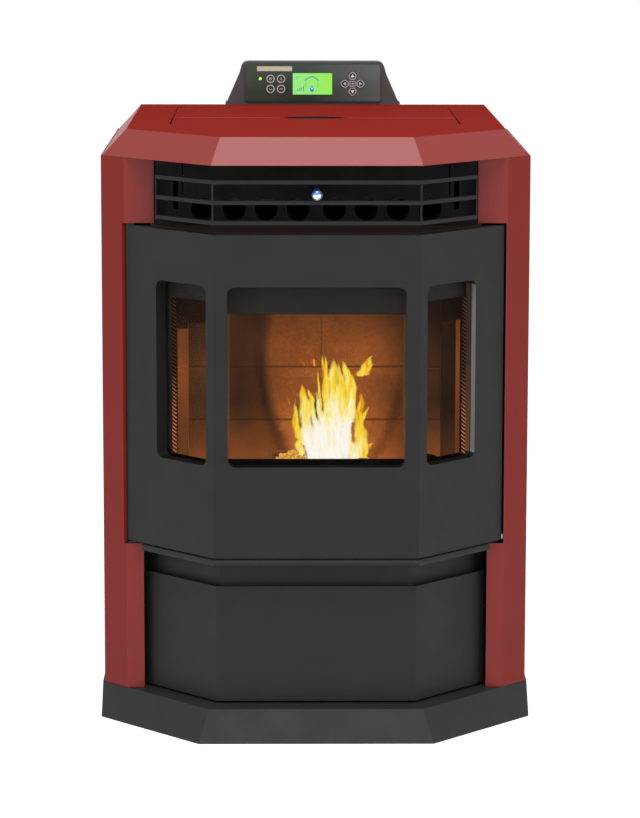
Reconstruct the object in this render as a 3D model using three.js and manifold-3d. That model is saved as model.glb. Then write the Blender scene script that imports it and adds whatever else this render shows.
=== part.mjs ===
// Free-standing pellet stove with a three-sided (bay) front.
// Millimetres. X is the viewer's right, Y runs to the rear, Z is up, the floor is Z = 0.
// Depths below are measured from a datum near the front of the stove; the finished group is
// moved back by CENTRE_Y, so that the origin is the middle of the footprint.
import * as THREE from 'three';
import { ConvexGeometry } from 'three/addons/geometries/ConvexGeometry.js';
import { mergeVertices } from 'three/addons/utils/BufferGeometryUtils.js';
import Module from 'manifold-3d';

// ---------------------------------------------------------------- driving dimensions
const FIT = 0.4; // clearance between pieces that touch
const SHEET = 2; // casing steel
const MITRE = Math.tan(Math.PI / 8); // sideways step of a bay corner for each unit of inset
const DIAGONAL = Math.SQRT1_2;

const STOVE_FRONT = -20;
const STOVE_REAR = 720;
const CENTRE_Y = (STOVE_FRONT + STOVE_REAR) / 2;

const BASE = { front: STOVE_FRONT, halfFront: 168, halfSide: 315, rear: 654, height: 42, slope: 33 };
const CAP = { low: 826, high: 864, rear: 656 };
const CAP_EDGE = { front: 8, halfFront: 149, halfSide: 310 };
const CAP_DECK = { front: 33, halfFront: 136, halfSide: 275 };

const PANEL = {
  halfWidth: 312, shoulder: 170, rear: 650, rearFlange: 22,
  corner: 277, flangeY: 135,
  upperInner: 234, lowerInner: 251.5, doorInner: 275.6,
  upperBottom: 731, lowerTop: 259,
};
// On the hinge side the facet is cut back, and a slanting lip fills the space that the door swings
// through: it stays out of the way of the corner that turns about the pin.
const HINGE_LIP = { facetEdge: 280.5, edge: 275.6, rear: 142.3 };
const PANEL_LOW = BASE.height + FIT;
const PANEL_HIGH = CAP.low - FIT;

// The free edge of the door, on the right, stops short of the casing and leaves room for a finger tab.
const DOOR = {
  front: 10, halfFront: 146.5, halfSide: 275, low: 264, high: 728, plate: 5, rim: 12, rimWide: 11,
};
const DOOR_FREE_EDGE = 272.4;
const WINDOW = { low: 396, high: 654, radius: 11, halfCentre: 126.5, sideFrom: 157, sideTo: 230 };
const REVEAL = { depth: 20, wall: 3.5 };
const GLASS = { thick: 4, overlap: 7 };
// The sheet that holds the glass covers more of it at the top, where it guides air down the pane.
const RETAINER = {
  thick: 3, width: 14, lap: 3, centreLow: 403.6, centreHigh: 612.5, sideLow: 399, sideHigh: 628,
};
const GASKET = { halfSide: 249, halfInner: 240, outerMargin: 14, innerMargin: 25 };
const DOOR_PIN = { x: -(DOOR.halfSide - 7.1), y: 140, radius: 3, bore: 3.5, depth: 15 };

const FLANGE_DEPTH = 17.5; // firebox front flange behind the face of the door
const FIREBOX = {
  halfWidth: 239, wall: 3, rear: 334, low: 283, high: 730, flange: 4, flangeLow: 266, flangeHalf: 250,
};
const FIRE_MOUTH = { low: 286, high: 708, rear: 260 };
const ASH_DROP = { inner: 95, outer: 200, front: 130, rear: 280 };
const BRICK = {
  half: 190, front: 303, rear: 328, low: 290, high: 690, course: 81, firstJoint: 413, joint: 4,
};
const BRICK_ANGLE = { outer: 206, high: 562 };
const BAFFLE = { low: 686.4, thick: 3.6, front: 195, rear: 326, lip: 704, ledge: 17 };
const SEAT = { half: 84, front: 130, rear: 262, high: 322, wall: 4 };
const POT = { low: 322.4, high: 378, rim: 4, centre: 195, halfFoot: 56, halfBrim: 68, wall: 5 };
const CHUTE = { halfWidth: 30, low: 384, high: 446, throat: 32 };
const IGNITER = { x: 0, z: 348, radius: 5, front: 236, rear: 352 };

const GRILLE = { front: 12, halfFront: 147, halfSide: 230.6, bars: [802, 773, 744.4], thick: 5.2, depth: 11 };
const TUBE = { count: 8, pitch: 45.8, first: 26, z: 753.4, bore: 16.9, wall: 1.8, sides: 12 };
const TUBE_PLATE = { y: 112, thick: 2, low: 731.5, high: CAP.low - FIT };
const EXCHANGER = { halfWidth: 190, rear: 345, low: FIREBOX.high + FIT, high: 796 };
const SCRAPER = { z: 784.8, rod: 4, knobRadius: 7.8, knobY: 5, plateY: 312, plateThick: 3 };

const LIP = { front: 7, halfFront: 147, halfSide: 255, low: 252, high: 262.6, sheet: 3 };
const RECESS = { setback: 13, low: 203, halfSide: 249.4, sheet: 2 }; // behind the face of the drawer
const DRAWER = { front: 46, halfFront: 144, halfSide: 249, low: 45.5, high: 215, sheet: 3, rim: 14 };
const PAN = { halfWidth: 180, rear: 330, low: 46, high: 198, wall: 1.6, tongue: 60, tongueLow: 106 };
const RAIL = { front: 112, rear: 420, wide: 14, wall: 2, high: 22 };

const LID = { halfWidth: 213.3, front: 377.6, rear: 588.8, flange: 15, opening: 1.2, seamFront: 262 };
const LID_PIN = { y: 594, z: 858, radius: 2.5, bore: 2.9, knuckle: 4.4, half: 172, ear: 6, lug: 22 };
const SCOOP = { halfWidth: 46, front: 358, rear: 408, depth: 12 };

const HOPPER = { halfWidth: 200, front: 386, rear: 582, high: 848, bend: 620, low: 340.8, wall: 1.6 };
const OUTLET = { halfWidth: 31, front: 482, rear: 542 };
const AUGER = {
  lowY: 560, lowZ: 190, highY: 372, highZ: 419,
  tube: 31, bore: 28.5, blade: 26, shaft: 7, pitch: 50, turns: 5, thick: 4, tip: 2, steps: 12,
};

const FAN = {
  left: -285, right: -180, y: 530, z: 165, radius: 72, growth: 26, wheel: 58, mouth: 285, blades: 12,
};
const BLOWER = { x: 170, z: 330, front: 420, rear: 462, radius: 60, duct: 33, blades: 8 };
const SPINDLE = { radius: 4.6, bore: 6.5 };
const EXHAUST = { x: 205, z: 215, radius: 38, wall: 1.5 };
const INTAKE = { x: -100, z: 312, radius: 24, wall: 1.5 };
const INLET = { x: -235, half: 24, low: 96, high: 130 };
const VENT = { half: 45, high: 6, pitch: 16 };

const HOUSING = { front: 656.4, rear: 696, low: 790, halfLow: 140, halfHigh: 108.5, high: 932 };
const FASCIA = { halfWidth: 108, low: 869, high: 927.5, front: 652.4, thick: 3.7 };
const KEY = { proud: 0.8, length: 3.6, gap: 0.35 };
const KEY_FRONT = FASCIA.front - KEY.proud;
const KEY_REAR = KEY_FRONT + KEY.length;
const LCD = { left: -32, right: 31, low: 880, high: 914 };
const LED = { x: -84.2, z: 905.2, radius: 2.2 };
const ROUND_KEY = { xs: [-67.6, -50.7], zs: [905.2, 889], radius: 6.6 };
const PAD = { x: 63.8, z: 897.4, reach: 19.5, square: 4.6, slot: 1.6 };
const PAD_TURNS = { up: 0, left: Math.PI / 2, down: Math.PI, right: -Math.PI / 2 };

const CATCH = { x: 268, y: 157.6, z: 500, radius: 6, height: 14, pin: 2, bore: 2.4 };

// ---------------------------------------------------------------- solids
const wasm = await Module();
wasm.setup();

function toSolid(geometry) {
  const bare = geometry.clone();
  bare.deleteAttribute('normal');
  bare.deleteAttribute('uv');
  const merged = mergeVertices(bare, 1e-4);
  return new wasm.Manifold(new wasm.Mesh({
    numProp: 3,
    vertProperties: new Float32Array(merged.attributes.position.array),
    triVerts: new Uint32Array(merged.index.array),
  }));
}

function toGeometry(solid) {
  const mesh = solid.getMesh();
  const geometry = new THREE.BufferGeometry();
  geometry.setAttribute('position', new THREE.BufferAttribute(mesh.vertProperties, 3));
  geometry.setIndex(new THREE.BufferAttribute(mesh.triVerts, 1));
  return geometry;
}

const join = (first, ...rest) => rest.reduce((sum, part) => sum.add(part), first);
const cut = (first, ...rest) => rest.reduce((left, part) => left.subtract(part), first);
const common = (first, second) => first.intersect(second);

// The same solid on the other side of the stove.
function mirrored(solid) {
  const geometry = toGeometry(solid);
  geometry.scale(-1, 1, 1);
  const index = geometry.index.array;
  for (let i = 0; i < index.length; i += 3) {
    [index[i], index[i + 1]] = [index[i + 1], index[i]];
  }
  return toSolid(geometry);
}

const shapeOf = (points) => new THREE.Shape(points.map(([u, v]) => new THREE.Vector2(u, v)));

function extruded(outline, length, curveSegments = 4) {
  const shape = Array.isArray(outline) ? shapeOf(outline) : outline;
  return new THREE.ExtrudeGeometry(shape, { depth: length, bevelEnabled: false, curveSegments });
}

// An outline in plan (x, y), raised from one height to another.
function risen(outline, low, high, curveSegments) {
  return toSolid(extruded(outline, high - low, curveSegments).translate(0, 0, low));
}

// An outline in elevation (x, z), run from one depth to another.
function deepened(outline, front, rear, curveSegments) {
  return toSolid(extruded(outline, rear - front, curveSegments).rotateX(Math.PI / 2).translate(0, rear, 0));
}

// An outline in side view (y, z), run from one x to another.
const SIDE_VIEW = new THREE.Matrix4().makeBasis(
  new THREE.Vector3(0, 1, 0), new THREE.Vector3(0, 0, 1), new THREE.Vector3(1, 0, 0));

function widened(outline, left, right, curveSegments) {
  const geometry = extruded(outline, right - left, curveSegments).applyMatrix4(SIDE_VIEW);
  return toSolid(geometry.translate(left, 0, 0));
}

function block(x0, x1, y0, y1, z0, z1) {
  const geometry = new THREE.BoxGeometry(x1 - x0, y1 - y0, z1 - z0);
  return toSolid(geometry.translate((x0 + x1) / 2, (y0 + y1) / 2, (z0 + z1) / 2));
}

// A block whose first two numbers may come in either order, as they do on the left side.
const between = (xa, xb, ...rest) => block(Math.min(xa, xb), Math.max(xa, xb), ...rest);

// A round bar between two points.
function bar(radius, from, to, sides = 20) {
  const start = new THREE.Vector3(...from);
  const end = new THREE.Vector3(...to);
  const along = end.clone().sub(start);
  const geometry = new THREE.CylinderGeometry(radius, radius, along.length(), sides);
  const upright = new THREE.Vector3(0, 1, 0);
  geometry.applyQuaternion(new THREE.Quaternion().setFromUnitVectors(upright, along.clone().normalize()));
  const middle = start.add(end).multiplyScalar(0.5);
  return toSolid(geometry.translate(middle.x, middle.y, middle.z));
}

function roundedRectangle(left, right, low, high, radius) {
  const shape = new THREE.Shape();
  shape.moveTo(left + radius, low);
  shape.lineTo(right - radius, low);
  shape.absarc(right - radius, low + radius, radius, -Math.PI / 2, 0, false);
  shape.lineTo(right, high - radius);
  shape.absarc(right - radius, high - radius, radius, 0, Math.PI / 2, false);
  shape.lineTo(left + radius, high);
  shape.absarc(left + radius, high - radius, radius, Math.PI / 2, Math.PI, false);
  shape.lineTo(left, low + radius);
  shape.absarc(left + radius, low + radius, radius, Math.PI, Math.PI * 1.5, false);
  return shape;
}

// ---------------------------------------------------------------- bay outlines
// A bay has a flat centre facet and two side facets at 45 degrees.
function insetBay(bay, depth) {
  return { ...bay, front: bay.front + depth, halfFront: bay.halfFront - depth * MITRE };
}

const shoulderOf = (bay) => bay.front + bay.halfSide - bay.halfFront;

function bayOutline(bay, rear = bay.rear) {
  const { front, halfFront, halfSide } = bay;
  const shoulder = shoulderOf(bay);
  return [
    [-halfFront, front], [halfFront, front], [halfSide, shoulder],
    [halfSide, rear], [-halfSide, rear], [-halfSide, shoulder],
  ];
}

// The band between two depths behind the face of a bay.
function bayBand(bay, near, far) {
  const outer = insetBay(bay, near);
  const inner = insetBay(bay, far);
  return [
    [-outer.halfFront, outer.front], [outer.halfFront, outer.front],
    [outer.halfSide, shoulderOf(outer)], [inner.halfSide, shoulderOf(inner)],
    [inner.halfFront, inner.front], [-inner.halfFront, inner.front],
    [-inner.halfSide, shoulderOf(inner)], [-outer.halfSide, shoulderOf(outer)],
  ];
}

const corners = (outline, z) => outline.map(([x, y]) => new THREE.Vector3(x, y, z));

// A solid with flat sides between an outline at one height and another above it.
const lofted = (lower, low, upper, high) =>
  toSolid(new ConvexGeometry([...corners(lower, low), ...corners(upper, high)]));

// A plate on the right side facet of a bay: the outline's first axis runs along the facet
// from the corner, and its second is the height. It fills the depths from near to far.
function onSideFacet(bay, outline, near, far, curveSegments) {
  const along = new THREE.Vector3(DIAGONAL, DIAGONAL, 0);
  const up = new THREE.Vector3(0, 0, 1);
  const outward = new THREE.Vector3(DIAGONAL, -DIAGONAL, 0);
  const place = new THREE.Matrix4().makeBasis(along, up, outward);
  place.setPosition(bay.halfFront - far * DIAGONAL, bay.front + far * DIAGONAL, 0);
  return toSolid(extruded(outline, far - near, curveSegments).applyMatrix4(place));
}

// ---------------------------------------------------------------- casing
function baseSkirt() {
  const top = insetBay(BASE, BASE.slope);
  const outer = lofted(bayOutline(BASE), 0, bayOutline(top), BASE.height);
  const floorInner = { ...insetBay(BASE, 3.5), halfSide: BASE.halfSide - 3, rear: BASE.rear - 3 };
  const topInner = { ...insetBay(top, 3.5), halfSide: BASE.halfSide - 3, rear: BASE.rear - 3 };
  const hollow = lofted(bayOutline(floorInner), 3, bayOutline(topInner), BASE.height - 3);
  const hem = { ...insetBay(BASE, 45), halfSide: BASE.halfSide - 40, rear: BASE.rear - 40 };
  return cut(outer, hollow, risen(bayOutline(hem), -1, 10));
}

function sidePanel(doorInner) {
  const p = PANEL;
  const fold = SHEET * MITRE;
  const folded = risen([
    [p.upperInner, p.flangeY], [p.corner, p.flangeY], [p.halfWidth, p.shoulder],
    [p.halfWidth, p.rear], [p.halfWidth - p.rearFlange, p.rear],
    [p.halfWidth - p.rearFlange, p.rear - SHEET],
    [p.halfWidth - SHEET, p.rear - SHEET], [p.halfWidth - SHEET, p.shoulder + fold],
    [p.corner - fold, p.flangeY + SHEET], [p.upperInner, p.flangeY + SHEET],
  ], PANEL_LOW, PANEL_HIGH);
  const besideDoor = block(200, doorInner, 100, 160, p.lowerTop, p.upperBottom);
  const besideDrawer = block(200, p.lowerInner, 100, 160, 0, p.lowerTop + 1);
  return cut(folded, besideDoor, besideDrawer);
}

function hingeSidePanel() {
  const { facetEdge, edge, rear } = HINGE_LIP;
  const facetY = (x) => PANEL.flangeY + x - PANEL.corner;
  const lip = risen([
    [edge, rear], [facetEdge, facetY(facetEdge)], [facetEdge + 2.5, facetY(facetEdge + 4)],
    [edge + 1.2, rear + 1.6],
  ], PANEL.lowerTop, PANEL.upperBottom);
  return mirrored(join(sidePanel(facetEdge), lip));
}

function rearPanel() {
  const half = PANEL.halfWidth - FIT;
  const front = PANEL.rear + FIT;
  const before = front - 5;
  const behind = front + 9;
  const sheet = block(-half, half, front, front + SHEET, PANEL_LOW, PANEL_HIGH);
  const openings = [
    bar(EXHAUST.radius + 1, [EXHAUST.x, before, EXHAUST.z], [EXHAUST.x, behind, EXHAUST.z]),
    bar(INTAKE.radius + 1, [INTAKE.x, before, INTAKE.z], [INTAKE.x, behind, INTAKE.z]),
    block(INLET.x - INLET.half - FIT, INLET.x + INLET.half + FIT, before, behind,
      INLET.low - FIT, INLET.high + FIT),
  ];
  // Rows of cooling slots: two banks high up, and one beside the room air fan.
  for (const [x, low, rows] of [[-210, 470, 6], [120, 470, 6], [-225, 230, 5]]) {
    for (let row = 0; row < rows; row += 1) {
      const z = low + row * VENT.pitch;
      openings.push(block(x - VENT.half, x + VENT.half, before, behind, z, z + VENT.high));
    }
  }
  return cut(sheet, ...openings);
}

// The cap's outlines at its lower edge and at its flat top, or those of the space inside it.
function capOutlines(sheet) {
  const inset = sheet * 1.3; // the slopes are steeper than the deck, so they need more
  const edge = { ...insetBay(CAP_EDGE, inset), halfSide: CAP_EDGE.halfSide - inset };
  const deck = { ...insetBay(CAP_DECK, inset), halfSide: CAP_DECK.halfSide - inset };
  const rear = CAP.rear - sheet;
  return { edge: bayOutline(edge, rear), deck: bayOutline(deck, rear) };
}

// The lens-shaped finger notch, shared by the cap, the lid and the scoop under them.
function scoopOutline(grow) {
  const middle = (SCOOP.front + SCOOP.rear) / 2;
  const half = (SCOOP.rear - SCOOP.front) / 2 + grow;
  const reach = SCOOP.halfWidth + grow;
  const shape = new THREE.Shape();
  shape.moveTo(-reach, middle);
  shape.bezierCurveTo(-reach * 0.75, middle - half * 1.3, reach * 0.75, middle - half * 1.3, reach, middle);
  shape.bezierCurveTo(reach * 0.75, middle + half * 1.3, -reach * 0.75, middle + half * 1.3, -reach, middle);
  return shape;
}

function topCap() {
  const outside = capOutlines(0);
  const inside = capOutlines(SHEET);
  const shell = cut(
    lofted(outside.edge, CAP.low, outside.deck, CAP.high),
    lofted(inside.edge, CAP.low - 0.01, inside.deck, CAP.high - SHEET));
  const half = LID.halfWidth + LID.opening;
  const openingRear = LID_PIN.y + 8;
  const seam = LID.opening;
  const opened = cut(shell,
    block(-half, half, LID.front - LID.opening, openingRear, CAP.low, CAP.high + 5),
    block(-half - seam, -half + seam, LID.seamFront, LID.front + 10, CAP.low, CAP.high + 5),
    block(half - seam, half + seam, LID.seamFront, LID.front + 10, CAP.low, CAP.high + 5),
    risen(scoopOutline(0), CAP.high - 10, CAP.high + 5, 10));
  const strap = block(-LID_PIN.half - 3, LID_PIN.half + 3, openingRear - 1, openingRear + 14,
    LID_PIN.z - 5, CAP.high - SHEET + 0.5);
  const ears = [];
  for (const x of [-168, -138, 132, 162]) {
    const end = x + LID_PIN.ear;
    ears.push(bar(LID_PIN.knuckle, [x, LID_PIN.y, LID_PIN.z], [end, LID_PIN.y, LID_PIN.z], 12));
    ears.push(block(x, end, LID_PIN.y, openingRear + 2, LID_PIN.z - 4, LID_PIN.z + 3));
  }
  const bore = bar(LID_PIN.bore, [-200, LID_PIN.y, LID_PIN.z], [200, LID_PIN.y, LID_PIN.z], 12);
  return cut(join(opened, strap, ...ears), bore);
}

function hopperLid() {
  const { halfWidth, front, rear, flange } = LID;
  const low = CAP.high - flange;
  const tray = cut(
    block(-halfWidth, halfWidth, front, rear, low, CAP.high),
    block(-halfWidth + SHEET, halfWidth - SHEET, front + SHEET, rear - SHEET, low - 1, CAP.high - SHEET));
  const lugs = [];
  for (const x of [-161, 139]) {
    const end = x + LID_PIN.lug;
    lugs.push(bar(LID_PIN.knuckle, [x, LID_PIN.y, LID_PIN.z], [end, LID_PIN.y, LID_PIN.z], 12));
    lugs.push(block(x, end, rear - 1, LID_PIN.y, LID_PIN.z - 4, LID_PIN.z + 4));
  }
  const reach = SCOOP.halfWidth + 9;
  return cut(join(tray, ...lugs),
    bar(LID_PIN.bore, [-200, LID_PIN.y, LID_PIN.z], [200, LID_PIN.y, LID_PIN.z], 12),
    risen(scoopOutline(0), CAP.high - 10, CAP.high + 5, 10),
    block(-reach, reach, front - 5, front + SHEET + 1, low - 1, CAP.high - SHEET - 0.01));
}

const lidHingePin = () =>
  bar(LID_PIN.radius, [-LID_PIN.half, LID_PIN.y, LID_PIN.z], [LID_PIN.half, LID_PIN.y, LID_PIN.z], 12);

function fingerScoop() {
  const top = CAP.high - SHEET - FIT;
  return cut(
    risen(scoopOutline(5), top - SCOOP.depth, top, 10),
    risen(scoopOutline(1), top - SCOOP.depth + 1.5, top + 1, 10));
}

// ---------------------------------------------------------------- control panel
function controlHousing() {
  const { halfLow, halfHigh, high, low } = HOUSING;
  const outline = new THREE.Shape();
  outline.moveTo(-halfLow, low);
  outline.lineTo(halfLow, low);
  outline.lineTo(halfLow, CAP.high + 3);
  outline.quadraticCurveTo(halfLow - 8, CAP.high + 4, halfLow - 11, CAP.high + 9);
  outline.lineTo(halfHigh + 6, high - 7);
  outline.quadraticCurveTo(halfHigh + 3, high, halfHigh - 5, high);
  outline.lineTo(-halfHigh + 5, high);
  outline.quadraticCurveTo(-halfHigh - 3, high, -halfHigh - 6, high - 7);
  outline.lineTo(-halfLow + 11, CAP.high + 9);
  outline.quadraticCurveTo(-halfLow + 8, CAP.high + 4, -halfLow, CAP.high + 3);
  outline.lineTo(-halfLow, low);
  const body = deepened(outline, HOUSING.front, HOUSING.rear, 5);
  const foot = block(-halfLow, halfLow, PANEL.rear + SHEET + 2 * FIT, HOUSING.front + 1, low, CAP.low - 1);
  const rearSlope = widened([
    [HOUSING.rear + 1, low - 1], [HOUSING.rear + 1, low + 42], [HOUSING.rear - 26, low - 1],
  ], -halfLow - 1, halfLow + 1);
  const vents = [];
  for (let i = -3; i <= 3; i += 1) {
    vents.push(block(i * 26 - 9, i * 26 + 9, HOUSING.rear - 3, HOUSING.rear + 1, 880, 884));
    vents.push(block(i * 26 - 9, i * 26 + 9, HOUSING.rear - 3, HOUSING.rear + 1, 892, 896));
  }
  return cut(join(body, foot), rearSlope, ...vents);
}

// One petal of the four-way pad: a flat-ended wedge that points up before it is turned.
function petalOutline(gap) {
  const inner = PAD.square + PAD.slot - gap;
  const outer = PAD.reach + gap;
  const shape = new THREE.Shape();
  shape.moveTo(-3.4 - gap, inner);
  shape.lineTo(3.4 + gap, inner);
  shape.lineTo(7.2 + gap, outer - 6.5);
  shape.quadraticCurveTo(5 + gap, outer, 0, outer);
  shape.quadraticCurveTo(-5 - gap, outer, -7.2 - gap, outer - 6.5);
  return shape;
}

function padKey(turn, gap, front, rear) {
  const geometry = extruded(petalOutline(gap), rear - front, 4);
  geometry.rotateZ(turn);
  return toSolid(geometry.rotateX(Math.PI / 2).translate(PAD.x, rear, PAD.z));
}

function squareKey(gap, front, rear) {
  const half = PAD.square + gap;
  const square = roundedRectangle(PAD.x - half, PAD.x + half, PAD.z - half, PAD.z + half, 1.6);
  return deepened(square, front, rear, 2);
}

const roundKey = (x, z, gap, front, rear) =>
  bar(ROUND_KEY.radius + gap, [x, front, z], [x, rear, z], 16);

function controlFascia() {
  const { halfWidth, low, high, front, thick } = FASCIA;
  const sheet = deepened(roundedRectangle(-halfWidth, halfWidth, low, high, 2.5), front, front + thick, 3);
  const before = front - 2;
  const behind = front + thick + 2;
  const holes = [
    block(LCD.left - FIT, LCD.right + FIT, before, behind, LCD.low - FIT, LCD.high + FIT),
    bar(LED.radius + FIT, [LED.x, before, LED.z], [LED.x, behind, LED.z], 12),
    squareKey(KEY.gap, before, behind),
  ];
  for (const turn of Object.values(PAD_TURNS)) holes.push(padKey(turn, KEY.gap, before, behind));
  for (const x of ROUND_KEY.xs) {
    for (const z of ROUND_KEY.zs) holes.push(roundKey(x, z, KEY.gap, before, behind));
  }
  return cut(sheet, ...holes);
}

const lcdScreen = () =>
  block(LCD.left, LCD.right, FASCIA.front + 0.6, FASCIA.front + FASCIA.thick, LCD.low, LCD.high);

const statusLed = () =>
  bar(LED.radius, [LED.x, FASCIA.front - 0.4, LED.z], [LED.x, FASCIA.front + FASCIA.thick, LED.z], 12);

// ---------------------------------------------------------------- grille and heat exchanger
function grilleLouvre() {
  const { bars, thick, depth, halfFront, halfSide, front } = GRILLE;
  const half = thick / 2;
  const low = Math.min(...bars) - half;
  const high = Math.max(...bars) + half;
  const pieces = bars.map((z) => risen(bayBand(GRILLE, 0, depth), z - half, z + half));
  const endFront = shoulderOf(GRILLE);
  for (const side of [-1, 1]) {
    const post = side * (halfFront - 0.2);
    pieces.push(block(post - 1.3, post + 1.3, front + 0.5, front + depth, low, high));
    const [outer, inner] = [side * halfSide, side * (halfSide - SHEET)];
    pieces.push(between(outer, inner, endFront + 1, TUBE_PLATE.y - FIT, low, high));
  }
  return join(...pieces);
}

const tubeXs = () => {
  const xs = [];
  for (let i = 0; i < TUBE.count / 2; i += 1) {
    const x = TUBE.first + i * TUBE.pitch;
    xs.push(-x, x);
  }
  return xs;
};

function tubePlate() {
  const { y, thick, low, high } = TUBE_PLATE;
  const sheet = block(-GRILLE.halfSide, GRILLE.halfSide, y, y + thick, low, high);
  const holes = tubeXs().map((x) => bar(TUBE.bore, [x, y - 5, TUBE.z], [x, y + 9, TUBE.z], TUBE.sides));
  holes.push(bar(SCRAPER.rod + 1, [0, y - 5, SCRAPER.z], [0, y + 9, SCRAPER.z], 16));
  for (const side of [-1, 1]) {
    holes.push(block(side * 191.4 - 1, side * 191.4 + 1, y - 5, y + 9, 775, high + 1));
    holes.push(block(side * 201.5 - 3.5, side * 201.5 + 3.5, y - 5, y + 9, 742, 800));
  }
  return cut(sheet, ...holes);
}

function heatExchanger() {
  const { halfWidth, rear, low, high } = EXCHANGER;
  const front = TUBE_PLATE.y + TUBE_PLATE.thick + FIT;
  const hood = cut(
    block(-halfWidth, halfWidth, front, rear, low, high),
    block(-halfWidth + 2, halfWidth - 2, front + 3, rear - 4, low - 1, high - 2));
  const outer = TUBE.bore + TUBE.wall;
  const along = (radius, near, far) =>
    tubeXs().map((x) => bar(radius, [x, near, TUBE.z], [x, far, TUBE.z], TUBE.sides));
  const tubes = along(outer, front + 1, rear - 1);
  const bores = along(TUBE.bore, front - 5, rear + 5);
  const rodHole = bar(SCRAPER.rod + 1, [0, front - 5, SCRAPER.z], [0, front + 9, SCRAPER.z], 16);
  return cut(join(hood, ...tubes), ...bores, rodHole);
}

function scraperPlate() {
  const { z, rod, plateY, plateThick, knobY, knobRadius } = SCRAPER;
  const plate = block(-182, 182, plateY, plateY + plateThick, EXCHANGER.low + 3, z + rod + 2);
  const clear = TUBE.bore + TUBE.wall + 0.8;
  const rings = tubeXs().map((x) => bar(clear, [x, plateY - 5, TUBE.z], [x, plateY + 9, TUBE.z], TUBE.sides));
  const stem = bar(rod, [0, knobY + knobRadius + 3.6, z], [0, plateY + 1, z], 16);
  return join(cut(plate, ...rings), stem);
}

function scraperKnob() {
  const { z, rod, knobY, knobRadius } = SCRAPER;
  const sphere = new THREE.SphereGeometry(knobRadius, 14, 9).rotateX(Math.PI / 2);
  const ball = toSolid(sphere.translate(0, knobY, z));
  return join(ball, bar(rod + 0.8, [0, knobY, z], [0, knobY + knobRadius + 3.2, z], 16));
}

// ---------------------------------------------------------------- firebox
const FIRE_FACE = { ...insetBay(DOOR, FLANGE_DEPTH), halfSide: FIREBOX.halfWidth };

function fireboxShell() {
  const { halfWidth, wall, rear, low, high, flangeLow, flangeHalf } = FIREBOX;
  const body = risen(bayOutline(FIRE_FACE, rear), low, high);
  const { flange: thick } = FIREBOX;
  const flange = risen(bayBand({ ...FIRE_FACE, halfSide: flangeHalf }, 0, thick), flangeLow, high - 3);
  const chamber = { ...insetBay(FIRE_FACE, thick), halfSide: halfWidth - wall };
  const mouth = { ...insetBay(FIRE_FACE, -40), halfSide: halfWidth - wall };
  const { inner, outer, front: dropFront, rear: dropRear } = ASH_DROP;
  const shell = cut(join(body, flange),
    risen(bayOutline(chamber, rear - wall), low + wall, high - wall),
    risen(bayOutline(mouth, FIRE_MOUTH.rear), FIRE_MOUTH.low, FIRE_MOUTH.high),
    block(-EXCHANGER.halfWidth + 7, EXCHANGER.halfWidth - 7, 150, rear - 4, high - 10, high + 5),
    block(-outer, -inner, dropFront, dropRear, low - 5, low + 5),
    block(inner, outer, dropFront, dropRear, low - 5, low + 5),
    ...rearHoles(rear - 10, rear + 5));
  // Upright angles hold the bricks, and ledges on the side walls carry the baffle.
  const holders = [];
  for (const side of [-1, 1]) {
    holders.push(between(side * (BRICK.half + FIT), side * BRICK_ANGLE.outer,
      BRICK.front - 5, rear - 1, low + 1, BRICK_ANGLE.high));
    holders.push(between(side * (halfWidth - BAFFLE.ledge), side * (halfWidth - 1),
      BAFFLE.front - 5, BAFFLE.rear, BAFFLE.low - 4.4, BAFFLE.low - FIT));
  }
  return join(shell, ...holders);
}

// The holes for the feed chute, the air intake, the flue gas and the igniter.
function rearHoles(near, far) {
  const half = CHUTE.halfWidth + FIT;
  return [
    block(-half, half, near, far, CHUTE.low - FIT, CHUTE.high + CHUTE.throat),
    bar(INTAKE.radius - INTAKE.wall, [INTAKE.x, near, INTAKE.z], [INTAKE.x, far, INTAKE.z], 24),
    bar(BLOWER.duct - SHEET, [BLOWER.x, near, BLOWER.z], [BLOWER.x, far, BLOWER.z], 24),
    bar(IGNITER.radius + 1, [IGNITER.x, near, IGNITER.z], [IGNITER.x, far, IGNITER.z], 16),
  ];
}

function brickLiner() {
  const { half, front, rear, low, high, course, firstJoint, joint } = BRICK;
  const slab = block(-half, half, front, rear, low, high);
  const grooves = [];
  const groove = (x0, x1, z0, z1) => grooves.push(block(x0, x1, front - 1, front + 3, z0, z1));
  let shifted = false;
  for (let z = firstJoint; z < high; z += course) {
    groove(-half - 1, half + 1, z - joint / 2, z + joint / 2);
    for (const x of shifted ? [-90, 106] : [-180, 8]) {
      groove(x - joint / 2, x + joint / 2, z, Math.min(z + course, high + 1));
    }
    shifted = !shifted;
  }
  return cut(slab, ...grooves, ...rearHoles(front - 5, rear + 5));
}

function bafflePlate() {
  const { low, thick, front, rear, lip } = BAFFLE;
  const half = FIREBOX.halfWidth - 4;
  const sheet = block(-half, half, front, rear, low, low + thick);
  const upstand = block(-half, half, front, front + 4, low + thick, lip);
  return cut(join(sheet, upstand),
    block(-BRICK.half - 1, BRICK.half + 1, BRICK.front - 2, rear + 14, low - 6, low + thick + 1));
}

function burnPotSeat() {
  const { half, front, rear, high, wall } = SEAT;
  const low = FIREBOX.low + FIREBOX.wall + FIT;
  return cut(
    block(-half, half, front, rear, low, high),
    block(-half + wall, half - wall, front + wall, rear - wall, low - 1, high - wall),
    block(-46, 46, 168, 222, high - 12, high + 8),
    bar(9, [INTAKE.x, POT.centre, 303], [INTAKE.x + 40, POT.centre, 303], 16));
}

const rectangle = (half, front, rear) => [[-half, front], [half, front], [half, rear], [-half, rear]];

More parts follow.
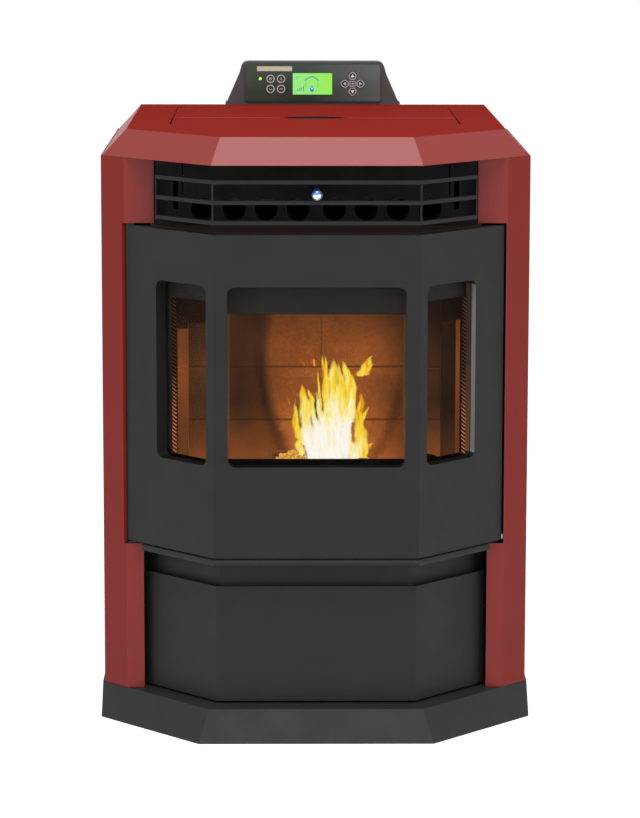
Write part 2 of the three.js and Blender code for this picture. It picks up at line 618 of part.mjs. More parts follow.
function burnPot() {
  const { low, high, rim, centre, halfFoot, halfBrim, wall } = POT;
  const foot = rectangle(halfFoot, 160, 228);
  const brim = rectangle(halfBrim, 148, 238);
  const hollow = lofted(
    rectangle(halfFoot - wall, 160 + wall, 228 - wall), low + wall,
    rectangle(halfBrim - wall + 0.5, 148 + wall - 0.5, 238 - wall + 0.5), high + 0.1);
  const bowl = lofted(foot, low, brim, high);
  const flange = block(-halfBrim - 8, halfBrim + 8, 140, 243.4, high - rim, high);
  const holes = [];
  for (const x of [-36, -12, 12, 36]) {
    for (const y of [centre - 19, centre, centre + 19]) {
      holes.push(bar(3.5, [x, y, low - 5], [x, y, low + 10], 6));
    }
  }
  holes.push(bar(IGNITER.radius + 1, [IGNITER.x, 215, IGNITER.z], [IGNITER.x, 250, IGNITER.z], 16));
  return cut(join(bowl, flange), hollow, ...holes);
}

function igniter() {
  const { x, z, radius, front, rear } = IGNITER;
  const collar = FIREBOX.rear + FIT;
  return join(
    bar(radius, [x, front, z], [x, rear, z], 16),
    bar(radius + 5, [x, collar, z], [x, collar + 7.6, z], 16));
}

// ---------------------------------------------------------------- door
const facetDistance = (x) => (x - DOOR.halfFront) / DIAGONAL;

function windowCutters(near, far, grow, curveSegments) {
  const { low, high, radius, halfCentre, sideFrom, sideTo } = WINDOW;
  const corner = radius + grow;
  const centre = roundedRectangle(-halfCentre - grow, halfCentre + grow, low - grow, high + grow, corner);
  const side = roundedRectangle(facetDistance(sideFrom) - grow, facetDistance(sideTo) + grow,
    low - grow, high + grow, corner);
  const right = onSideFacet(DOOR, side, near, far, curveSegments);
  return [deepened(centre, DOOR.front + near, DOOR.front + far, curveSegments), right, mirrored(right)];
}

function doorFrame() {
  const { low, high, plate, rim, rimWide, halfSide } = DOOR;
  const face = risen(bayBand(DOOR, 0, plate), low, high);
  const border = cut(
    risen(bayBand(DOOR, plate - 0.5, rim), low, high),
    risen(bayOutline({ ...DOOR, halfSide: halfSide - rimWide }, 300), low + 5, high - 5));
  const frames = windowCutters(plate - 0.5, REVEAL.depth, REVEAL.wall, 2);
  const windows = windowCutters(-2, REVEAL.depth + 2, 0);
  const beyond = block(DOOR_FREE_EDGE, halfSide + 9, 0, 300, low - 1, high + 1);
  const { x, y, bore, depth } = DOOR_PIN;
  const lowBore = bar(bore, [x, y, low - 1], [x, y, low + depth + 1], 16);
  const highBore = bar(bore, [x, y, high - depth - 1], [x, y, high + 1], 16);
  return cut(join(face, border, ...frames), ...windows, lowBore, highBore, beyond);
}

function glassPane(which) {
  const near = REVEAL.depth + 0.3;
  return windowCutters(near, near + GLASS.thick, GLASS.overlap, 1)[which];
}

function glassRetainer() {
  const { thick, width, lap, centreLow, centreHigh, sideLow, sideHigh } = RETAINER;
  const near = REVEAL.depth + GLASS.thick + 0.7;
  const far = near + thick;
  const halfSide = WINDOW.sideTo + (width - near) * DIAGONAL;
  const band = risen(bayBand({ ...DOOR, halfSide }, near, far), WINDOW.low - width, WINDOW.high + width);
  const half = WINDOW.halfCentre - lap;
  const from = facetDistance(WINDOW.sideFrom) + lap;
  const to = facetDistance(WINDOW.sideTo) - lap;
  const right = onSideFacet(DOOR,
    [[from, sideLow], [to, sideLow], [to, sideHigh], [from, sideHigh]], near - 5, far + 5);
  return cut(band, right, mirrored(right),
    block(-half, half, DOOR.front + near - 5, DOOR.front + far + 5, centreLow, centreHigh));
}

function doorGasket() {
  const { halfSide, halfInner, outerMargin, innerMargin } = GASKET;
  const band = risen(bayBand({ ...DOOR, halfSide }, DOOR.plate + 0.3, FLANGE_DEPTH - 0.3),
    DOOR.low + outerMargin, DOOR.high - outerMargin);
  const inner = { ...insetBay(DOOR, -5), halfSide: halfInner };
  return cut(band, risen(bayOutline(inner, 300), DOOR.low + innerMargin, DOOR.high - innerMargin));
}

// A flat bracket on the casing, with the pin that the door turns on.
function doorHinge(low, high, pinLow, pinHigh) {
  const { x, y, radius } = DOOR_PIN;
  const plate = risen([
    [x - 6, y - 5], [x + 5, y - 5], [x + 8, y + 18], [x + 8, y + 36],
    [x - 17, y + 36], [x - 17, y + 16], [x - 6, y + 8],
  ], low, high);
  return join(plate, bar(radius, [x, y, pinLow], [x, y, pinHigh], 16));
}

function catchRoller() {
  const { x, y, z, radius, height } = CATCH;
  return cut(
    bar(radius, [x, y, z - height / 2], [x, y, z + height / 2], 24),
    bar(CATCH.bore, [x, y, z - height], [x, y, z + height], 12));
}

function catchBracket() {
  const { x, y, z, height, pin } = CATCH;
  const half = height / 2 + FIT;
  const low = z - half - SHEET;
  const high = z + half + SHEET;
  const wall = FIREBOX.halfWidth + FIT;
  return join(
    block(x - 5, x + 5, y - 3, y + 14, z + half, high),
    block(x - 5, x + 5, y - 3, y + 14, low, z - half),
    block(wall, x + 5, y + 12, y + 14, low, high),
    block(wall, wall + SHEET, y + 12, y + 40, low, high),
    bar(pin, [x, y, z - half - 1], [x, y, z + half + 1], 12));
}

// A finger tab on the free edge of the door, in the gap beside the casing.
function doorPullTab() {
  const edge = DOOR_FREE_EDGE + FIT;
  const behind = shoulderOf(insetBay(DOOR, DOOR.rim)) + FIT;
  const low = DOOR.low + 1.5;
  const high = low + 6.5;
  return join(
    block(edge, edge + SHEET, behind - 19, behind + SHEET, low, high),
    block(edge - 9, edge + SHEET, behind, behind + SHEET, low, high));
}

// ---------------------------------------------------------------- ash drawer and lip
// A round-nosed ledge under the door, with a folded web that closes the recess over the drawer.
function ashLip() {
  const { low, high, sheet } = LIP;
  const radius = (high - low) / 2;
  const points = [];
  for (const turn of [-90, -45, 0, 45, 90]) {
    const angle = THREE.MathUtils.degToRad(turn);
    const level = insetBay(LIP, radius * (1 - Math.cos(angle)));
    points.push(...corners(bayOutline(level, 300), low + radius * (1 + Math.sin(angle))));
  }
  const ledge = toSolid(new ConvexGeometry(points));
  const web = { ...DRAWER, halfSide: RECESS.halfSide };
  const webRear = insetBay(web, RECESS.setback + RECESS.sheet);
  const tip = LIP.halfSide + shoulderOf(LIP);
  const stop = PANEL.flangeY - 4;
  const squareEnd = risen([[tip - stop, stop], [tip - 80, 80], [tip, 80], [tip, stop]], low - 1, high + 1);
  const nose = cut(ledge,
    risen(bayOutline(insetBay(LIP, 2 * radius), 320), low - 1, high - sheet),
    risen(bayOutline({ ...webRear, halfSide: 400 }, 600), low - 1, high + 1),
    block(RECESS.halfSide, tip, stop - 1, 320, low - 1, high + 1),
    block(-tip, -RECESS.halfSide, stop - 1, 320, low - 1, high + 1),
    squareEnd, mirrored(squareEnd));
  return join(nose, risen(bayBand(web, RECESS.setback, RECESS.setback + RECESS.sheet), RECESS.low, high));
}

function ashDrawerFront() {
  const { low, high, sheet, rim } = DRAWER;
  return join(
    risen(bayBand(DRAWER, 0, sheet), low, high),
    risen(bayBand(DRAWER, 0, rim), low, low + sheet));
}

function ashPan() {
  const { halfWidth, rear, low, high, wall, tongue, tongueLow } = PAN;
  const sheetRear = DRAWER.front + DRAWER.sheet + FIT;
  const narrow = insetBay({ ...DRAWER, halfSide: halfWidth }, DRAWER.rim + FIT);
  const outer = risen(bayOutline(narrow, rear), low, high);
  const hollow = risen(bayOutline({ ...insetBay(narrow, wall), halfSide: halfWidth - wall }, rear - wall),
    low + wall, high + 1);
  // A hook on the front of the pan, behind the drawer's face.
  const arm = block(-tongue, tongue, sheetRear, sheetRear + DRAWER.rim, tongueLow, tongueLow + SHEET);
  const hook = block(-tongue, tongue, sheetRear, sheetRear + SHEET, tongueLow - 30, tongueLow + SHEET);
  return join(cut(outer, hollow), arm, hook);
}

function drawerRails() {
  const low = BASE.height + FIT;
  const seat = PAN.low - FIT;
  const rails = [];
  for (const side of [-1, 1]) {
    const edge = side * (PAN.halfWidth + FIT);
    const outer = edge + side * RAIL.wall;
    rails.push(between(edge - side * RAIL.wide, outer, RAIL.front, RAIL.rear, low, seat));
    rails.push(between(edge, outer, RAIL.front, RAIL.rear, low, seat + RAIL.high));
  }
  const tie = block(-PAN.halfWidth - 1, PAN.halfWidth + 1, PAN.rear + 10, RAIL.rear, low, seat);
  return join(...rails, tie);
}

// ---------------------------------------------------------------- hopper and feed
function hopperSolid(shrink) {
  const upper = rectangle(HOPPER.halfWidth - shrink, HOPPER.front + shrink, HOPPER.rear - shrink);
  const lower = rectangle(OUTLET.halfWidth - shrink, OUTLET.front + shrink, OUTLET.rear - shrink);
  const over = shrink > 0 ? 1 : 0;
  return join(
    risen(upper, HOPPER.bend, HOPPER.high + over),
    lofted(lower, HOPPER.low, upper, HOPPER.bend),
    risen(lower, HOPPER.low - over, HOPPER.low + 1));
}

function hopper() {
  const rim = risen(rectangle(HOPPER.halfWidth + 20, HOPPER.front - 16, HOPPER.rear + 2),
    HOPPER.high - 2, HOPPER.high);
  return cut(join(hopperSolid(0), rim), hopperSolid(HOPPER.wall));
}

function hopperGuard() {
  const half = HOPPER.halfWidth - HOPPER.wall - 1;
  const front = HOPPER.front + HOPPER.wall + 1;
  const rear = HOPPER.rear - HOPPER.wall - 1;
  const z = 760;
  const frame = cut(
    block(-half, half, front, rear, z - 4, z + 4),
    block(-half + 3, half - 3, front + 3, rear - 3, z - 5, z + 5));
  const rods = [];
  for (let i = 1; i < 8; i += 1) {
    const x = -half + (i * 2 * half) / 8;
    rods.push(bar(2, [x, front + 1, z], [x, rear - 1, z], 8));
  }
  return join(frame, ...rods);
}

const AUGER_AXIS = new THREE.Vector3(0, AUGER.highY - AUGER.lowY, AUGER.highZ - AUGER.lowZ);
const AUGER_LENGTH = AUGER_AXIS.length();
AUGER_AXIS.normalize();
const AUGER_TURN = new THREE.Quaternion().setFromUnitVectors(new THREE.Vector3(0, 0, 1), AUGER_AXIS);
const augerPoint = (distance) => [
  0, AUGER.lowY + AUGER_AXIS.y * distance, AUGER.lowZ + AUGER_AXIS.z * distance,
];

// The chute in side view: from the mouth over the burn pot back and up to the end of the feed tube.
function chuteProfile(sheet) {
  const mouth = BRICK.front - 8 - (sheet > 0 ? 5 : 0);
  const { low, high, throat } = CHUTE;
  const top = high + throat - 2;
  const rear = AUGER.highY + 27;
  return [
    [mouth, low + sheet], [346 - sheet * 0.3, low + 4 + sheet],
    [rear - sheet, low + 46 + sheet], [rear - sheet, top - 6 - sheet],
    [rear - 19, top - sheet], [345, top - sheet], [mouth, high - sheet],
  ];
}

function augerTube() {
  const pipe = bar(AUGER.tube, augerPoint(0), augerPoint(AUGER_LENGTH));
  const chute = widened(chuteProfile(0), -CHUTE.halfWidth, CHUTE.halfWidth);
  const neck = block(-OUTLET.halfWidth, OUTLET.halfWidth, OUTLET.front, OUTLET.rear, 270, HOPPER.low - FIT);
  const bore = bar(AUGER.bore, augerPoint(-5), augerPoint(AUGER_LENGTH + 6));
  const throat = widened(chuteProfile(2), -CHUTE.halfWidth + 2, CHUTE.halfWidth - 2);
  const drop = block(-OUTLET.halfWidth + 2, OUTLET.halfWidth - 2, OUTLET.front + 2, OUTLET.rear - 2,
    285, HOPPER.low + 5);
  return cut(join(pipe, chute, common(neck, aboveAugerAxis())), bore, throat, drop);
}

// Everything above the centre line of the feed tube.
function aboveAugerAxis() {
  const from = augerPoint(-60);
  const to = augerPoint(AUGER_LENGTH + 60);
  return widened([[from[1], from[2]], [from[1], 600], [to[1], 600], [to[1], to[2]]], -60, 60);
}

// The feed screw is one skin over a shaft and a blade that winds round it. Every step along the
// blade has a line of four points: its foot, its two edge points and its foot on the far side.
// Between two turns the skin follows the shaft, and before the first turn and after the last
// it runs straight to the ends of the shaft.
function screwGeometry({ shaft, blade, pitch, thick, tip, steps, first, turns, length }) {
  const points = [];
  const faces = [];
  const put = (radius, step, along) => {
    const angle = (step / steps) * Math.PI * 2;
    points.push(radius * Math.cos(angle), radius * Math.sin(angle), along);
    return points.length / 3 - 1;
  };
  const quad = (a, b, c, d) => faces.push(a, b, c, a, c, d);
  const count = turns * steps;
  const lean = (thick - tip) / 2;
  const lines = [];
  for (let i = 0; i <= count; i += 1) {
    const foot = first + (i / steps) * pitch;
    lines.push([
      put(shaft, i, foot), put(blade, i, foot + lean),
      put(blade, i, foot + lean + tip), put(shaft, i, foot + thick),
    ]);
  }
  const lowRing = [];
  const highRing = [];
  for (let k = 0; k < steps; k += 1) {
    lowRing.push(put(shaft, k, 0));
    highRing.push(put(shaft, k, length));
  }
  const lowCentre = put(0, 0, 0);
  const highCentre = put(0, 0, length);
  for (let k = 0; k < steps; k += 1) {
    faces.push(lowCentre, lowRing[(k + 1) % steps], lowRing[k]);
    faces.push(highCentre, highRing[k], highRing[(k + 1) % steps]);
  }
  for (let i = 0; i < count; i += 1) {
    const [a, b] = [lines[i], lines[i + 1]];
    for (let edge = 0; edge < 3; edge += 1) quad(a[edge], b[edge], b[edge + 1], a[edge + 1]);
    if (i + steps < count) quad(a[3], b[3], lines[i + steps + 1][0], lines[i + steps][0]);
  }
  const late = count - steps;
  for (let k = 0; k < steps - 1; k += 1) {
    quad(lowRing[k], lowRing[k + 1], lines[k + 1][0], lines[k][0]);
    const next = k + 2 < steps ? k + 2 : 0;
    quad(lines[late + k + 1][3], lines[late + k + 2][3], highRing[next], highRing[k + 1]);
  }
  // The last strip of the first turn and the first strip of the last one meet the flat ends of
  // the blade, so each is a fan.
  const start = lines[0];
  const end = lines[count];
  const fan = (hub, rim) => {
    for (let k = 0; k + 1 < rim.length; k += 1) faces.push(hub, rim[k], rim[k + 1]);
  };
  fan(lines[steps - 1][0], [lowRing[steps - 1], lowRing[0], start[0], start[3], lines[steps][0]]);
  fan(lines[late + 1][3], [highRing[1], highRing[0], end[3], end[0], lines[late][3]]);
  quad(start[0], start[1], start[2], start[3]);
  quad(end[3], end[2], end[1], end[0]);
  const geometry = new THREE.BufferGeometry();
  geometry.setAttribute('position', new THREE.Float32BufferAttribute(points, 3));
  geometry.setIndex(faces);
  return geometry;
}

function augerScrew() {
  const length = AUGER_LENGTH + 1;
  const first = (length - AUGER.turns * AUGER.pitch) / 2;
  const geometry = screwGeometry({ ...AUGER, first, length });
  return toSolid(geometry.applyQuaternion(AUGER_TURN).translate(...augerPoint(-3)));
}

function augerMotor() {
  const gearbox = new THREE.BoxGeometry(64, 64, 40).translate(0, 0, -24.5).applyQuaternion(AUGER_TURN);
  const plate = new THREE.BoxGeometry(76, 70, 4).translate(0, 0, -2.5).applyQuaternion(AUGER_TURN);
  const origin = augerPoint(0);
  const pocket = bar(AUGER.shaft + 0.6, augerPoint(-4), augerPoint(5), 16);
  return cut(join(
    toSolid(gearbox.translate(...origin)),
    toSolid(plate.translate(...origin)),
    bar(27, augerPoint(-86), augerPoint(-40), 20)), pocket);
}

// ---------------------------------------------------------------- blowers
function fanOutline(shrink) {
  // Opened upwards at the front: the curve starts at the rear and runs under the wheel.
  const points = [];
  const steps = 16;
  for (let i = 0; i <= steps; i += 1) {
    const turn = -(i / steps) * Math.PI;
    const reach = FAN.radius + FAN.growth * (i / steps) - shrink;
    points.push([FAN.y + reach * Math.cos(turn), FAN.z + reach * Math.sin(turn)]);
  }
  const rearEdge = points[0][0];
  const frontEdge = points[points.length - 1][0];
  points.push([frontEdge, FAN.mouth + (shrink > 0 ? 5 : 0)]);
  points.push([rearEdge - 60, FAN.mouth + (shrink > 0 ? 5 : 0)]);
  points.push([rearEdge - 8, FAN.z + 55 - shrink]);
  return points;
}

function convectionHousing() {
  const { left, right, y, z } = FAN;
  const shell = cut(
    widened(fanOutline(0), left, right),
    widened(fanOutline(2), left + 2, right - 2),
    bar(44, [left - 5, y, z], [left + 10, y, z]));
  const motor = bar(32, [right - 1, y, z], [right + 58, y, z]);
  const spindleHole = bar(5.5, [right - 10, y, z], [right + 12, y, z], 16);
  return cut(join(shell, motor), spindleHole);
}

// A wheel of blades between a back plate and a front ring, turning about X.
function convectionWheel() {
  const { left, right, y, z, wheel } = FAN;
  const x0 = left + 8;
  const x1 = right - 8;
  const disc = bar(wheel, [x1 - 3, y, z], [x1, y, z], 24);
  const ring = cut(
    bar(wheel, [x0, y, z], [x0 + 4, y, z], 24),
    bar(wheel - 12, [x0 - 5, y, z], [x0 + 9, y, z], 24));
  const hub = bar(12, [x1 - 22, y, z], [x1, y, z], 20);
  const spindle = bar(SPINDLE.radius, [x1 - 5, y, z], [right + 10, y, z], 16);
  const blades = [];
  for (let i = 0; i < FAN.blades; i += 1) {
    const angle = (i / FAN.blades) * Math.PI * 2;
    const blade = new THREE.BoxGeometry(x1 - x0 - 4, 11, 1.6);
    blade.rotateX(0.55).translate(0, wheel - 6.5, 0).rotateX(angle);
    blades.push(toSolid(blade.translate((x0 + x1) / 2, y, z)));
  }
  return join(disc, ring, hub, spindle, ...blades);
}

function combustionHousing() {
  const { x, z, front, rear, radius, duct } = BLOWER;
  const reach = radius + 12;
  const outer = join(
    bar(reach, [x, front, z], [x, rear, z]),
    block(x - 5, x + reach, front, rear, EXHAUST.z - 46, z));
  const inner = join(
    bar(reach - 2, [x, front + 2, z], [x, rear - 2, z]),
    block(x - 3, x + reach - 2, front + 2, rear - 2, EXHAUST.z - 44, z));
  const neck = bar(duct, [x, FIREBOX.rear + FIT, z], [x, front + 1, z], 24);
  return cut(join(outer, neck), inner,
    bar(duct - 2, [x, FIREBOX.rear - 5, z], [x, front + 5, z], 24),
    bar(EXHAUST.radius - 2, [EXHAUST.x - 2, rear - 5, EXHAUST.z], [EXHAUST.x - 2, rear + 5, EXHAUST.z], 24),
    bar(SPINDLE.bore, [x, rear - 10, z], [x, rear + 5, z], 16));
}

function combustionWheel() {
  const { x, z, front, rear, radius } = BLOWER;
  const y0 = front + 7;
  const y1 = rear - 6;
  const disc = bar(radius, [x, y1 - 2, z], [x, y1, z], 24);
  const hub = bar(12, [x, y0 + 6, z], [x, y1, z], 20);
  const spindle = bar(SPINDLE.radius, [x, y1 - 2, z], [x, rear + 14, z], 16);
  const blades = [];
  for (let i = 0; i < BLOWER.blades; i += 1) {
    const angle = (i / BLOWER.blades) * Math.PI * 2;
    const blade = new THREE.BoxGeometry(radius - 12, y1 - y0, 1.8).translate(radius / 2 + 4, 0, 0);
    blade.rotateY(angle);
    blades.push(toSolid(blade.translate(x, (y0 + y1) / 2, z)));
  }
  return join(disc, hub, spindle, ...blades);
}

function combustionMotor() {
  const { x, z, rear } = BLOWER;
  const front = rear + FIT;
  return cut(join(
    bar(37, [x, front + 8, z], [x, front + 70, z], 16),
    bar(48, [x, front, z], [x, front + 4, z], 16),
    bar(20, [x, front + 3, z], [x, front + 9, z], 16),
    bar(12, [x, front + 69, z], [x, front + 78, z], 12)),
  bar(SPINDLE.bore, [x, front - 5, z], [x, front + 20, z], 16));
}

function pipe({ x, z, radius, wall }, front, rear, collar) {
  const tube = bar(radius, [x, front, z], [x, rear, z]);
  const ring = bar(radius + 9, [x, collar, z], [x, collar + 2, z]);
  return cut(join(tube, ring), bar(radius - wall, [x, front - 5, z], [x, rear + 5, z]));
}

function powerInlet() {
  const { x, half, low, high } = INLET;
  const face = PANEL.rear + FIT + SHEET + FIT;
  const middle = (low + high) / 2;
  const body = join(
    block(x - half, x + half, face - 22, face + 1, low, high),
    deepened(roundedRectangle(x - half - 6, x + half + 6, low - 5, high + 5, 4), face, face + 3, 3));
  const socketOutline = roundedRectangle(x - 12, x + 12, middle - 8, middle + 8, 3);
  const socket = deepened(socketOutline, face - 14, face + 5, 3);
  const pins = [[-7, -2], [0, 3], [7, -2]].map(([dx, dz]) =>
    block(x + dx - 1, x + dx + 1, face - 15, face - 1, middle + dz - 2.5, middle + dz + 2.5));
  return join(cut(body, socket), ...pins);
}

// ---------------------------------------------------------------- finishes
const finish = (color, roughness, metalness) => ({ color, roughness, metalness });
const RED_ENAMEL = finish(0x9a2f28, 0.42, 0.1);
const BLACK_STEEL = finish(0x393939, 0.6, 0.3);
const DARK_STEEL = finish(0x1d1c1c, 0.7, 0.3);
const RAW_STEEL = finish(0x8d8f92, 0.4, 0.9);
const CHROME = finish(0xd9dde2, 0.12, 1);
const CERAMIC_GLASS = finish(0x2a2320, 0.08, 0);
const FIREBRICK = finish(0x8a5a34, 0.95, 0);
const CAST_IRON = finish(0x2b2a29, 0.85, 0.4);
const BLACK_PLASTIC = finish(0x242325, 0.35, 0);
const GLOSS_BLACK = finish(0x0e0e10, 0.1, 0);
const KEY_BLACK = finish(0x2f3033, 0.4, 0);
const DISPLAY = finish(0x96f050, 0.2, 0);
const LIT_GREEN = finish(0x2bd33c, 0.2, 0);
const ROPE = finish(0x3a3733, 1, 0);

const stove = new THREE.Group();
stove.position.y = -CENTRE_Y;

function add(name, solid, look) {
  const geometry = toGeometry(solid);
  const mesh = new THREE.Mesh(geometry, new THREE.MeshStandardMaterial(look));
  mesh.name = name;
  stove.add(mesh);
}

add('base_skirt', baseSkirt(), BLACK_STEEL);
add('side_panel_left', hingeSidePanel(), RED_ENAMEL);
add('side_panel_right', sidePanel(PANEL.doorInner), RED_ENAMEL);
add('rear_panel', rearPanel(), DARK_STEEL);
add('top_cap', topCap(), RED_ENAMEL);
add('hopper_lid', hopperLid(), RED_ENAMEL);
add('lid_hinge_pin', lidHingePin(), RAW_STEEL);
add('finger_scoop', fingerScoop(), BLACK_PLASTIC);

add('control_housing', controlHousing(), BLACK_PLASTIC);
add('control_fascia', controlFascia(), GLOSS_BLACK);
add('lcd_screen', lcdScreen(), DISPLAY);
add('status_led', statusLed(), LIT_GREEN);
for (const [column, x] of ROUND_KEY.xs.entries()) {
  for (const [row, z] of ROUND_KEY.zs.entries()) {
    add(`key_round_${row * 2 + column + 1}`, roundKey(x, z, 0, KEY_FRONT, KEY_REAR), KEY_BLACK);
  }
}
for (const [name, turn] of Object.entries(PAD_TURNS)) {
  add(`key_pad_${name}`, padKey(turn, 0, KEY_FRONT, KEY_REAR), KEY_BLACK);
}
add('key_pad_centre', squareKey(0, KEY_FRONT, KEY_REAR), KEY_BLACK);

add('grille_louvre', grilleLouvre(), BLACK_STEEL);
add('tube_plate', tubePlate(), DARK_STEEL);
add('heat_exchanger', heatExchanger(), DARK_STEEL);
add('scraper_plate', scraperPlate(), RAW_STEEL);
add('scraper_knob', scraperKnob(), CHROME);

add('firebox_shell', fireboxShell(), BLACK_STEEL);
add('brick_liner', brickLiner(), FIREBRICK);
add('baffle_plate', bafflePlate(), RAW_STEEL);
add('burn_pot_seat', burnPotSeat(), CAST_IRON);
add('burn_pot', burnPot(), CAST_IRON);
add('igniter', igniter(), RAW_STEEL);

add('door_frame', doorFrame(), BLACK_STEEL);
for (const [which, name] of ['glass_centre', 'glass_right', 'glass_left'].entries()) {
  add(name, glassPane(which), CERAMIC_GLASS);
}
add('glass_retainer', glassRetainer(), BLACK_STEEL);
add('door_gasket', doorGasket(), ROPE);
add('door_pull_tab', doorPullTab(), RAW_STEEL);
add('door_hinge_upper', doorHinge(728.5, 730.6, 728.5 - DOOR_PIN.depth, 730), BLACK_STEEL);
add('door_hinge_lower', doorHinge(259.5, 262.4, 261, 263 + DOOR_PIN.depth), BLACK_STEEL);
add('catch_bracket', catchBracket(), RAW_STEEL);
add('catch_roller', catchRoller(), RAW_STEEL);

add('ash_lip', ashLip(), BLACK_STEEL);
add('ash_drawer_front', ashDrawerFront(), BLACK_STEEL);
add('ash_pan', ashPan(), DARK_STEEL);
add('drawer_rails', drawerRails(), RAW_STEEL);

add('hopper', hopper(), RAW_STEEL);
add('hopper_guard', hopperGuard(), RAW_STEEL);
add('auger_tube', augerTube(), RAW_STEEL);
add('auger_screw', augerScrew(), RAW_STEEL);
add('auger_motor', augerMotor(), DARK_STEEL);
add('convection_housing', convectionHousing(), RAW_STEEL);
add('convection_wheel', convectionWheel(), RAW_STEEL);
add('combustion_housing', combustionHousing(), RAW_STEEL);
add('combustion_wheel', combustionWheel(), RAW_STEEL);
add('combustion_motor', combustionMotor(), DARK_STEEL);
add('exhaust_pipe', pipe(EXHAUST, BLOWER.rear + FIT, STOVE_REAR, 654), RAW_STEEL);
add('air_intake_pipe', pipe(INTAKE, FIREBOX.rear + FIT, 690, 654), RAW_STEEL);
add('power_inlet', powerInlet(), BLACK_PLASTIC);

export default stove;
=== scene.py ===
"""The looks of a free-standing pellet stove with a three-sided glazed door.

Metres. X is the viewer's right, Y runs to the rear, Z is up, and the floor is Z = 0.
Small pieces are sized in millimetres, with their depths counted from DATUM.
"""

import math
import random

import bmesh
import bpy
from mathutils import Matrix, Vector


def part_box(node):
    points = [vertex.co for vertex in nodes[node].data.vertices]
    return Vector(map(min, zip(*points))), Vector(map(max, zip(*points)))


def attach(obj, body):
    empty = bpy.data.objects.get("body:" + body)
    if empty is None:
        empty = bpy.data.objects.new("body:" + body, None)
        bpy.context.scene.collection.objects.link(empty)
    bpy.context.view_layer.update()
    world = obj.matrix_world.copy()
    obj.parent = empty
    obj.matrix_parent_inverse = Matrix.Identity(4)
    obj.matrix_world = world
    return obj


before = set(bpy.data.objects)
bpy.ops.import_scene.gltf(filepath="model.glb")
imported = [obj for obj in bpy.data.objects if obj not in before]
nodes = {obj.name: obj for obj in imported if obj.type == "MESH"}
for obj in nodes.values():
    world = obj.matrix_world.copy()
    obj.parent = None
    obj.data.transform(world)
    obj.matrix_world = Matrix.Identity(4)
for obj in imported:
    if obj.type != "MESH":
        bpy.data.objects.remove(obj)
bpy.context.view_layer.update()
scene = bpy.context.scene

MM = 0.001
DATUM = -350 * MM  # depths in the casing are counted from here
FIRE = Vector((0.018, DATUM + 0.195, 0.40))  # the heart of the fire
FAR = 10.0  # a radius so long that the depth doesn't count

# ---------------------------------------------------------------- driving dimensions
# The finger recess at the front edge of the lid.
RECESS_CENTRE = DATUM + 0.383
RECESS_HALF_WIDTH = 0.048
RECESS_HALF_DEPTH = 0.027

# The windows of the door, and the sheet behind them that holds the panes.
SILL = 0.4
SIDE_WINDOW = (0.399, 0.651)  # low and high
SIDE_WINDOW_END = (0.230, 0.094)  # the far edge of the right window, as x and depth
REVEAL_ALONG = sum(SIDE_WINDOW_END) * math.sqrt(0.5)  # the same edge, along its facet
REVEAL_FRONT = -0.0958  # its wall runs inward from here, square to the facet
REVEAL_TRIM = -0.0876  # and carries a painted highlight as far as here
CENTRE_PANE = (0.4037, 0.6123)  # low and high
BESIDE_CENTRE_PANE = (0.1195, 0.1300)  # the strip of the sheet that catches the fire's light

# The firebox.
FIREBOX_HALF = 0.2375
FIREBOX_TOP = 0.728
FIREBOX_REAR = DATUM + 0.332
CHUTE_HALF = 0.035
CHUTE_TOP = 0.485
CHUTE_LIT = DATUM + 0.400  # the chute shows the light of the fire before this depth
POT_DARK = 0.360  # the burn pot is dark below this height
POT_RIM = 0.376
FIRST_JOINT = 0.413
COURSE = 0.081
UPRIGHT_JOINT = 0.010
BRICKS_ASIDE = (0.138, 0.150)  # bricks further out than this show in the side windows alone

# The angles beside the bricks: left edge, right edge and top, each as the place where its light
# starts and the place where it is full.
ANGLES = (((-0.2075, -0.2065), (-0.1895, -0.1903), (0.554, 0.552)),
          ((0.2135, 0.2145), (0.2210, 0.2200), (0.563, 0.561)))
ANGLES_FROM = DATUM + 0.28

# Ellipsoids of light on the bricks, each as centre and radii.
SWEPT = ((0.025, 0, 0.515), (0.098, FAR, 0.183))
SWEPT_RIGHT = ((0.04, 0, 0.50), (0.10, FAR, 0.20))
NEAR_FIRE = ((0.03, 0, 0.45), (0.11, FAR, 0.13))

# The control panel, in millimetres.
KEY_FACE = 651.6
FASCIA_FACE = 652.4
DISPLAY_FACE = 652.9
INK_THICK = 0.3
OVERPRINT = 0.1  # a second ink stands this far before the first
ROUND_KEYS = {"key_round_1": (-67.6, 905.2), "key_round_2": (-50.7, 905.2),
              "key_round_3": (-67.6, 889.0), "key_round_4": (-50.7, 889.0)}
ROUND_KEY_RADIUS = 6.5
PAD_CENTRE = (63.8, 897.4)
PAD_KEYS = {"key_pad_up": 0, "key_pad_left": 90, "key_pad_down": 180, "key_pad_right": 270}
PLATE_LOW, PLATE_HIGH = (-89.3, 917.4), (-33.3, 925.0)
HOUSING_FRONT, HOUSING_REAR = 656.6, 695.8

# The painted highlight along the front edge of the lid, to either side of the finger recess.
LID_EDGE_FROM, LID_EDGE_TO = 0.050, 0.2128
LID_EDGE_SIZE = 0.0012
LID_EDGE_PROUD = 0.0002

# The ropes behind the outer edges of the side windows: x and depth in millimetres, and the strength of their
# painted firelight.
ROPES = {"left": ((-204.8, 115.7), 0.9), "right": ((213.6, 103.0), 0.65)}
ROPE_RADIUS = 3.4
ROPE_FOOT = 399
ROPE_RINGS = 190
ROPE_STEP = 1.21
ROPE_SIDES = 15

# ---------------------------------------------------------------- camera
IMAGE_HEIGHT = 818
FOCAL_PIXELS = 3080
SENSOR = 36
CAMERA_AT = Vector((-0.048, -4.637, 1.2295))
CAMERA_YAW = math.radians(0.70)
CAMERA_PITCH = math.radians(8.4)
CAMERA_ROLL = math.radians(0.11)
CENTRE_SHIFT = -80  # pixels from the optical axis to the middle of the picture


